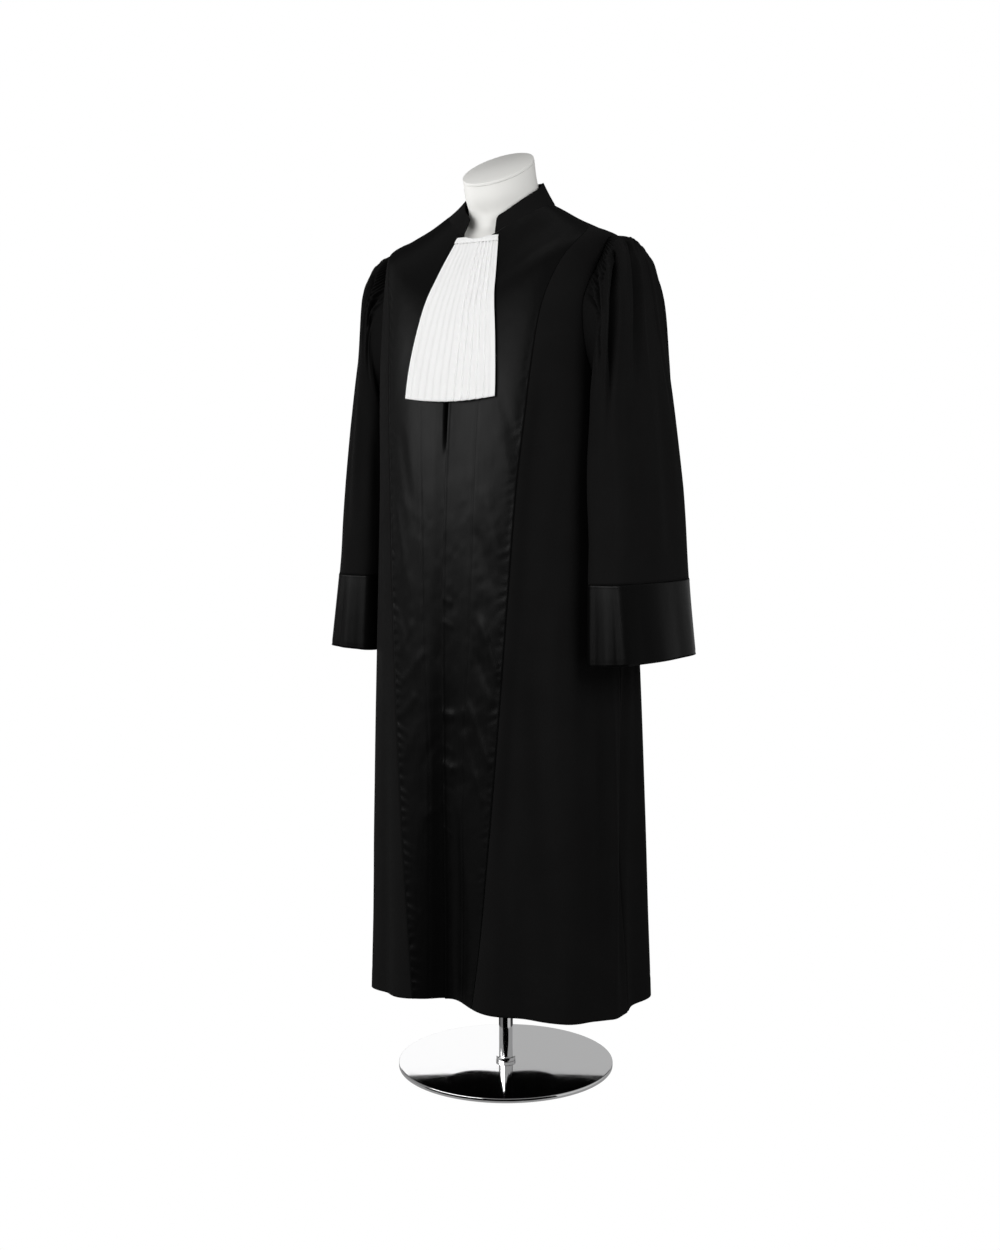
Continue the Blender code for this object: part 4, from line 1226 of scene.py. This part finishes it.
def cuff_flutes(angle, fall):
    degrees = np.degrees(angle)
    total = np.zeros(np.broadcast(angle, fall).shape)
    for flute in CUFF_FLUTES:
        middle = flute.angle + (flute.angle_end - flute.angle) * fall
        total += flute.height * (0.35 + 0.65 * fall) * bell(turn_between(degrees, middle), flute.width)
    return total


# The dress form and the stand

FormRing = namedtuple("FormRing", "half_width front back z_front z_side z_back square")
FORM_TABLE = table(FormRing, (
    (0.190, 0.124, 0.112, 1.290, 1.431, 1.380, 2.4),
    (0.190, 0.126, 0.115, 1.238, 1.380, 1.322, 2.4),
    (0.178, 0.125, 0.116, 1.180, 1.290, 1.242, 2.3),
    (0.161, 0.119, 0.109, 1.118, 1.172, 1.144, 2.3),
    (0.146, 0.108, 0.098, 1.024, 1.034, 1.030, 2.2),
    (0.146, 0.104, 0.098, 0.938, 0.938, 0.938, 2.2),
    (0.158, 0.108, 0.112, 0.850, 0.850, 0.850, 2.2),
    (0.166, 0.110, 0.120, 0.780, 0.780, 0.780, 2.3),
    (0.164, 0.108, 0.118, 0.764, 0.764, 0.764, 2.3),
    (0.155, 0.099, 0.109, 0.760, 0.760, 0.760, 2.3),
))
FORM_SHOULDER_ROWS = (0.55, 1.0, 1.5, 2.0, 2.5, 3.0)
FORM_FIRST_ROW = 0.3
FORM_LAST_ROW = 3.3
FORM_ROW_STEP = 0.05
FORM_STEP_COUNT = 61
FORM_DEPTH = 0.0036
FORM_SLACK = 0.008
FORM_SIDE_SLACK = 0.15
FORM_COLUMNS = 144
FORM_ROWS = 120

# Rings of the form's neck, from its sloping top down, by their middle, radius and slope.
NeckRing = namedtuple("NeckRing", "y z radius degrees")
NECK_TABLE = table(NeckRing, (
    (-0.024, 1.556, 0.0600, 30),
    (-0.018, 1.532, 0.0603, 28),
    (-0.007, 1.507, 0.0600, 27),
    (-0.004, 1.487, 0.0610, 26),
))
NECK_CAP_GAP = 0.0005
NECK_CAP_THICKNESS = 0.005
NECK_CAP_EDGE = 0.0012


def neck_ring(angle, row, lift=0.0, inset=0.0):
    """A ring round the neck, lower at the front by its slope. The lift is square to the ring."""
    slope = math.radians(row.degrees)
    radius = row.radius - inset
    ahead = radius * np.cos(angle)
    return np.stack([
        radius * np.sin(angle),
        row.y - lift * math.sin(slope) - ahead,
        row.z + lift * math.cos(slope) - ahead * math.tan(slope),
    ], axis=-1)


def form_ring(angle, row):
    side = np.sin(angle)
    ahead = np.cos(angle)
    depth = np.where(ahead > 0, row.front, row.back)
    reach = oval_reach(side, ahead, row.half_width, depth, row.square)
    z_middle = np.where(ahead > 0, row.z_front, row.z_back)
    z = row.z_side + (z_middle - row.z_side) * ahead * ahead
    return np.stack([reach * side, -reach * ahead, z], axis=-1)


def stack_faces(rows, columns):
    """Faces of a closed stack of rings, with both ends capped."""
    faces = [tuple(face) for face in grid_faces(rows, columns, closed=True)]
    last = (rows - 1) * columns
    faces.append(tuple(range(columns)))
    faces.append(tuple(reversed(range(last, last + columns))))
    return faces


def ring_stack(name, rings, node):
    """Closed smooth solid through rings of points, from the top one down."""
    piece = new_piece(name, rings, stack_faces(*rings.shape[:2]), "form", [node])
    piece.data.set_sharp_from_angle(angle=FORM_SHARP)


def dress_form():
    """The form follows the robe from inside over the shoulders, and has its own shape below."""
    angle = 2 * math.pi * np.arange(FORM_COLUMNS) / FORM_COLUMNS
    neck = np.stack([neck_ring(angle, row) for row in NECK_TABLE])
    t = np.linspace(FORM_FIRST_ROW, FORM_LAST_ROW, FORM_STEP_COUNT)[:, None]
    shape = (len(t), FORM_COLUMNS)
    shoulders = body_surface(np.broadcast_to(angle, shape), np.broadcast_to(t, shape))
    slack = FORM_SLACK * (np.abs(np.cos(angle)) + FORM_SIDE_SLACK * np.abs(np.sin(2 * angle)))
    shoulders = raised(shoulders, np.broadcast_to(-FORM_DEPTH - slack, shape), closed=True)
    rows = [round((row - FORM_FIRST_ROW) / FORM_ROW_STEP) for row in FORM_SHOULDER_ROWS]
    body = np.stack([form_ring(angle, row) for row in FORM_TABLE])
    read = row_reader(np.concatenate([neck, shoulders[rows], body]))
    count = len(NECK_TABLE) + len(rows) + len(FORM_TABLE)
    ring_stack("form_shell", read(np.linspace(0, count - 1, FORM_ROWS)), "form_torso")
    top = NECK_TABLE[0]
    high = NECK_CAP_GAP + NECK_CAP_THICKNESS
    cap = [
        neck_ring(angle, top, high, NECK_CAP_EDGE),
        neck_ring(angle, top, high - 0.35 * NECK_CAP_EDGE, 0.35 * NECK_CAP_EDGE),
        neck_ring(angle, top, high - NECK_CAP_EDGE),
        neck_ring(angle, top, NECK_CAP_GAP),
    ]
    ring_stack("form_cap", np.stack(cap), "form_neck_cap")


def lathe(name, profile, sides, node):
    """A turned chrome piece from (radius, height) points, listed from the top down."""
    turn = 2 * math.pi * np.arange(sides) / sides
    points = []
    for radius, z in profile:
        points += [(radius * math.sin(a), -radius * math.cos(a), z) for a in turn]
    piece = new_piece(name, points, stack_faces(len(profile), sides), "chrome", [node])
    piece.data.set_sharp_from_angle(angle=CHROME_SHARP)


def round_edge(radius, z, size, start, end, steps=6):
    """Points round a small edge between two directions, in degrees from the outward one."""
    points = []
    for step in range(steps + 1):
        turn = math.radians(start + (end - start) * step / steps)
        points.append((radius + size * math.cos(turn), z + size * math.sin(turn)))
    return points


def stand():
    """A disc with a softly rounded rim, and a pole with a small foot collar."""
    edge = STAND_EDGE
    rim = BASE_RADIUS - edge
    profile = round_edge(rim, BASE_THICKNESS - edge, edge, 90, 0)
    profile += round_edge(rim, edge, edge, 0, -90)
    lathe("stand_disc", profile, DISC_SIDES, "base_disc")
    foot = BASE_THICKNESS + CONTACT_GAP
    edge = POLE_FOOT_EDGE
    profile = [(POLE_RADIUS, FORM_BOTTOM_Z - CONTACT_GAP), (POLE_RADIUS, foot + POLE_FOOT_HEIGHT)]
    profile += round_edge(POLE_FOOT_RADIUS - edge, foot + POLE_FOOT_HEIGHT - edge, edge, 90, 0)
    profile.append((POLE_FOOT_RADIUS, foot))
    lathe("stand_pole", profile, POLE_SIDES, "pole")


# Materials

def principled(name, colour, roughness, metallic=0.0, ior=1.45):
    material = bpy.data.materials.new(name)
    material.use_nodes = True
    shader = material.node_tree.nodes["Principled BSDF"]
    shader.inputs["Base Color"].default_value = (*colour, 1.0)
    shader.inputs["Roughness"].default_value = roughness
    shader.inputs["Metallic"].default_value = metallic
    shader.inputs["IOR"].default_value = ior
    return material, material.node_tree, shader


def add_node(tree, kind, **inputs):
    node = tree.nodes.new(kind)
    for name, value in inputs.items():
        node.inputs[name.replace("_", " ")].default_value = value
    return node


def object_places(tree, scale=(1, 1, 1)):
    places = tree.nodes.new("ShaderNodeTexCoord")
    mapping = tree.nodes.new("ShaderNodeMapping")
    mapping.inputs["Scale"].default_value = scale
    tree.links.new(places.outputs["Object"], mapping.inputs["Vector"])
    return mapping.outputs["Vector"]


def noise(tree, places, scale, detail=2.0, roughness=0.5):
    node = add_node(tree, "ShaderNodeTexNoise", Scale=scale, Detail=detail, Roughness=roughness)
    tree.links.new(places, node.inputs["Vector"])
    return node.outputs["Fac"]


def bump(tree, heights, distance, strength=1.0, before=None):
    node = add_node(tree, "ShaderNodeBump", Strength=strength, Distance=distance)
    tree.links.new(heights, node.inputs["Height"])
    if before:
        tree.links.new(before, node.inputs["Normal"])
    return node.outputs["Normal"]


def spread(tree, value, low, high):
    """Maps a value from 0.25 to 0.75 to a range."""
    node = add_node(tree, "ShaderNodeMapRange")
    node.inputs["From Min"].default_value = 0.25
    node.inputs["From Max"].default_value = 0.75
    node.inputs["To Min"].default_value = low
    node.inputs["To Max"].default_value = high
    tree.links.new(value, node.inputs["Value"])
    return node.outputs["Result"]


def mixed_colour(tree, share, first, second):
    node = tree.nodes.new("ShaderNodeMix")
    node.data_type = "RGBA"
    node.inputs[6].default_value = (*first, 1.0)
    node.inputs[7].default_value = (*second, 1.0)
    tree.links.new(share, node.inputs[0])
    return node.outputs[2]


def mottle(tree, shader, patches, first, second):
    """Slow patches of two close colours."""
    colour = mixed_colour(tree, spread(tree, patches, 0, 1), first, second)
    tree.links.new(colour, shader.inputs["Base Color"])


def crepe_look():
    """Matt black crepe: a fine pebbled weave of twisted threads."""
    material, tree, shader = principled("crepe", (0.0072, 0.0072, 0.0072), 0.85, ior=1.08)
    shader.inputs["Sheen Weight"].default_value = 0.008
    shader.inputs["Sheen Roughness"].default_value = 0.5
    grain = noise(tree, object_places(tree, (1, 1, 0.7)), 1500, 2.0)
    threads = noise(tree, object_places(tree, (1, 1, 0.18)), 900, 1.0)
    patches = noise(tree, object_places(tree), 14, 3.0)
    mottle(tree, shader, patches, (0.0068, 0.0067, 0.0067), (0.0080, 0.0079, 0.0079))
    tree.links.new(spread(tree, grain, 0.66, 0.80), shader.inputs["Roughness"])
    normal = bump(tree, grain, 0.00025, 0.6)
    normal = bump(tree, threads, 0.00025, 0.4, normal)
    tree.links.new(normal, shader.inputs["Normal"])
    return material


def satin_look():
    """Black satin: long smooth floats with a soft wide sheen."""
    material, tree, shader = principled("satin", (0.0024, 0.0024, 0.0024), 0.34, ior=1.19)
    floats = noise(tree, object_places(tree, (1, 1, 0.12)), 2200, 1.0)
    slubs = noise(tree, object_places(tree, (1, 1, 0.06)), 260, 2.0)
    drape = noise(tree, object_places(tree, (1, 1, 0.6)), 46, 2.0, 0.45)
    tree.links.new(spread(tree, slubs, 0.31, 0.37), shader.inputs["Roughness"])
    normal = bump(tree, floats, 0.0001, 0.35)
    normal = bump(tree, drape, 0.0012, 0.22, normal)
    tree.links.new(normal, shader.inputs["Normal"])
    return material


def cotton_look():
    """Crisp white cotton with a fine plain weave."""
    material, tree, shader = principled("cotton", (0.91, 0.91, 0.905), 0.85, ior=1.3)
    shader.inputs["Sheen Weight"].default_value = 0.05
    weave = weave_height(tree, 1.0 / COTTON_THREAD)
    soft = noise(tree, object_places(tree), 60, 2.0)
    mottle(tree, shader, soft, (0.905, 0.905, 0.90), (0.915, 0.915, 0.91))
    tree.links.new(bump(tree, weave, 0.00012, 0.5), shader.inputs["Normal"])
    return material


COTTON_THREAD = 0.0007
WAVES_PER_SCALE = 20


def weave_height(tree, threads_per_metre):
    """Threads that cross, as the larger of two sets of fine waves."""
    waves = []
    for direction in ("X", "Z"):
        wave = tree.nodes.new("ShaderNodeTexWave")
        wave.bands_direction = direction
        wave.inputs["Scale"].default_value = threads_per_metre / WAVES_PER_SCALE
        wave.inputs["Distortion"].default_value = 0.6
        tree.links.new(object_places(tree), wave.inputs["Vector"])
        waves.append(wave.outputs["Fac"])
    larger = tree.nodes.new("ShaderNodeMath")
    larger.operation = "MAXIMUM"
    tree.links.new(waves[0], larger.inputs[0])
    tree.links.new(waves[1], larger.inputs[1])
    return larger.outputs["Value"]


def form_look():
    """Off-white painted shell, smooth with a fine stipple."""
    material, tree, shader = principled("form_white", (0.90, 0.895, 0.865), 0.42)
    stipple = noise(tree, object_places(tree), 700, 2.0)
    cloudy = noise(tree, object_places(tree), 12, 2.0)
    mottle(tree, shader, cloudy, (0.89, 0.885, 0.855), (0.91, 0.905, 0.875))
    tree.links.new(spread(tree, cloudy, 0.38, 0.48), shader.inputs["Roughness"])
    tree.links.new(bump(tree, stipple, 0.0001, 0.25), shader.inputs["Normal"])
    return material


def chrome_look():
    """Mirror-polished chrome with faint wiping marks."""
    material, tree, shader = principled("chrome", (0.97, 0.97, 0.975), 0.05, metallic=1.0)
    marks = noise(tree, object_places(tree, (1, 1, 1)), 35, 4.0, 0.65)
    tree.links.new(spread(tree, marks, 0.025, 0.075), shader.inputs["Roughness"])
    return material


def thread_look():
    """Fine black sewing thread."""
    material, tree, shader = principled("thread", (0.004, 0.004, 0.0042), 0.6, ior=1.15)
    twist = noise(tree, object_places(tree), 3000, 1.0)
    tree.links.new(bump(tree, twist, 0.0001, 0.4), shader.inputs["Normal"])
    return material


# The stage, the light and the camera

def glow_look(name, strength):
    material = bpy.data.materials.new(name)
    material.use_nodes = True
    tree = material.node_tree
    tree.nodes.remove(tree.nodes["Principled BSDF"])
    glow = add_node(tree, "ShaderNodeEmission", Color=(1, 1, 1, 1), Strength=strength)
    tree.links.new(glow.outputs["Emission"], tree.nodes["Material Output"].inputs["Surface"])
    return material


def stage_mesh(name, points, faces, material, seen_in_chrome):
    mesh = bpy.data.meshes.new(name)
    mesh.from_pydata(points, [], faces)
    mesh.materials.append(material)
    item = bpy.data.objects.new(name, mesh)
    bpy.context.scene.collection.objects.link(item)
    item.visible_diffuse = False
    item.visible_shadow = False
    item.visible_transmission = False
    item.visible_glossy = seen_in_chrome
    return item


STUDIO_REACH = 9.0
STUDIO_SIDES = 48
FLOOR_Z = -0.0003

# White, grey and dark cards, which only the chrome and the satin mirror.
Card = namedtuple("Card", "name azimuth distance left right low high glow")
CARDS = table(Card, (
    ("card_white", 211, 3.4, 0.0, 2.6, 0.0, 1.5, 1.0),
    ("card_grey", 211, 3.4, -2.6, 0.0, 0.0, 1.5, 0.42),
    ("card_above", 211, 3.5, -4.0, 4.0, 1.5, 7.0, 0.03),
    ("card_front", 28, 2.0, -2.2, 2.2, 0.0, 0.75, 0.0),
))
Sector = namedtuple("Sector", "name start end glow")
SECTORS = table(Sector, (
    ("floor_back_left", -140, -68, 0.03),
    ("floor_left", -68, -19, 0.16),
    ("floor_front", -19, 60, 0.0),
    ("floor_right", 60, 112, 0.50),
    ("floor_back_right", 112, 190, 0.03),
))
SECTOR_NEAR = 0.20
SECTOR_FAR = 4.0
SECTOR_Z = -0.0002
SECTOR_STEPS = 8


def studio():
    """A pale floor that runs into a pale round wall, with the cards that the chrome mirrors."""
    white = glow_look("studio_white", 1.0)
    ring = [
        (STUDIO_REACH * math.cos(turn), STUDIO_REACH * math.sin(turn))
        for turn in (2 * math.pi * side / STUDIO_SIDES for side in range(STUDIO_SIDES))
    ]
    points = [(x, y, FLOOR_Z) for x, y in ring] + [(x, y, STUDIO_REACH) for x, y in ring]
    walls = [
        (side, (side + 1) % STUDIO_SIDES, STUDIO_SIDES + (side + 1) % STUDIO_SIDES, STUDIO_SIDES + side)
        for side in range(STUDIO_SIDES)
    ]
    stage_mesh("floor", points[:STUDIO_SIDES], [tuple(range(STUDIO_SIDES))], white, False)
    stage_mesh("wall", points, walls, white, False)
    for card in CARDS:
        upright_card(card)
    for sector in SECTORS:
        floor_sector(sector)


def mirrored_card(name, corners, azimuth, glow):
    """A flat card that only the mirrored reflections show."""
    turn = Matrix.Rotation(math.radians(azimuth), 3, "Z")
    points = [tuple(turn @ Vector(corner)) for corner in corners]
    item = stage_mesh(name, points, [tuple(range(len(points)))], glow_look(name, glow), True)
    item.visible_camera = False


def upright_card(card):
    """Faces the robe. The azimuth is from the front to the wearer's left."""
    corners = [
        (card.left, -card.distance, card.low), (card.right, -card.distance, card.low),
        (card.right, -card.distance, card.high), (card.left, -card.distance, card.high),
    ]
    mirrored_card(card.name, corners, card.azimuth, card.glow)


def floor_sector(sector):
    """A flat part of a ring on the floor."""
    shares = [step / SECTOR_STEPS for step in range(SECTOR_STEPS + 1)]
    turns = [math.radians(blend(sector.start, sector.end, share)) for share in shares]
    near = [(math.sin(a) * SECTOR_NEAR, -math.cos(a) * SECTOR_NEAR, SECTOR_Z) for a in turns]
    far = [(math.sin(a) * SECTOR_FAR, -math.cos(a) * SECTOR_FAR, SECTOR_Z) for a in turns]
    mirrored_card(sector.name, near + far[::-1], 0, sector.glow)


FILL_LIGHT = 0.28


def world_light():
    world = bpy.data.worlds.new("studio")
    world.use_nodes = True
    bpy.context.scene.world = world
    sky = world.node_tree.nodes["Background"]
    sky.inputs["Color"].default_value = (1, 1, 1, 1)
    sky.inputs["Strength"].default_value = FILL_LIGHT


# Area lights. The azimuth is from the front to the wearer's left.
# Only a mirrored lamp shows as a reflection.
Lamp = namedtuple("Lamp", "name azimuth distance height width tall power aim_z mirrored")
LAMPS = table(Lamp, (
    ("key", -25, 3.0, 1.66, 3.6, 1.2, 61, 1.20, True),
    ("fill", 66, 2.3, 1.80, 1.2, 1.0, 23, 1.30, False),
    ("edge", -86, 3.0, 1.50, 0.9, 1.6, 34, 1.20, False),
))


def lights():
    """Large soft lamps, each aimed at a point on the robe's axis."""
    for lamp in LAMPS:
        data = bpy.data.lights.new(lamp.name, "AREA")
        data.shape = "RECTANGLE"
        data.size = lamp.width
        data.size_y = lamp.tall
        data.energy = lamp.power
        light = bpy.data.objects.new(lamp.name, data)
        bpy.context.scene.collection.objects.link(light)
        turn = math.radians(lamp.azimuth)
        light.visible_glossy = lamp.mirrored
        light.location = (math.sin(turn) * lamp.distance, -math.cos(turn) * lamp.distance, lamp.height)
        aim = Vector((0, 0, lamp.aim_z)) - light.location
        light.rotation_euler = aim.to_track_quat("-Z", "Y").to_euler()


def camera():
    """The camera stands where the photograph was taken from."""
    data = bpy.data.cameras.new("camera")
    data.sensor_width = SENSOR_MM
    data.lens = LENS_MM
    data.clip_start = 0.1
    data.clip_end = 50
    item = bpy.data.objects.new("camera", data)
    bpy.context.scene.collection.objects.link(item)
    bpy.context.scene.camera = item
    turn = VIEW_AZIMUTH + VIEW_YAW
    forward = Vector((-math.sin(turn), math.cos(turn), 0))
    right = Vector((math.cos(turn), math.sin(turn), 0))
    up = Vector((0, 0, 1))
    look = forward * math.cos(VIEW_PITCH) - up * math.sin(VIEW_PITCH)
    above = up * math.cos(VIEW_PITCH) + forward * math.sin(VIEW_PITCH)
    turned = Matrix((right, above, -look)).transposed()
    place = Vector((math.sin(VIEW_AZIMUTH), -math.cos(VIEW_AZIMUTH), 0)) * VIEW_DISTANCE
    place.z = VIEW_HEIGHT
    item.matrix_world = Matrix.Translation(place) @ turned.to_4x4()


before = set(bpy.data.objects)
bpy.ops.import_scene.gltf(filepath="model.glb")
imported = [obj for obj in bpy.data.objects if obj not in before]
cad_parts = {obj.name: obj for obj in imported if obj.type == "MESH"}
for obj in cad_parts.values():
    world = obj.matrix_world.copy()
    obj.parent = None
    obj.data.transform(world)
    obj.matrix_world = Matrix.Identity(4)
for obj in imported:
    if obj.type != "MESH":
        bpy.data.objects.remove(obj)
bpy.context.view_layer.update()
bpy.context.scene.view_settings.view_transform = "Standard"
bpy.context.scene.view_settings.look = "None"
LOOKS = {
    "crepe": crepe_look(),
    "satin": satin_look(),
    "cotton": cotton_look(),
    "form": form_look(),
    "chrome": chrome_look(),
    "thread": thread_look(),
}
camera()
world_light()
lights()
studio()
dress_form()
back()
crepe_front("front_left", 1)
crepe_front("front_right", -1)
for plan in SATIN_PLANS:
    satin(plan)
collar()
jabot_band()
jabot()
sleeve("sleeve_left", 1)
sleeve("sleeve_right", -1)
cuff("cuff_left", 1)
cuff("cuff_right", -1)
stand()
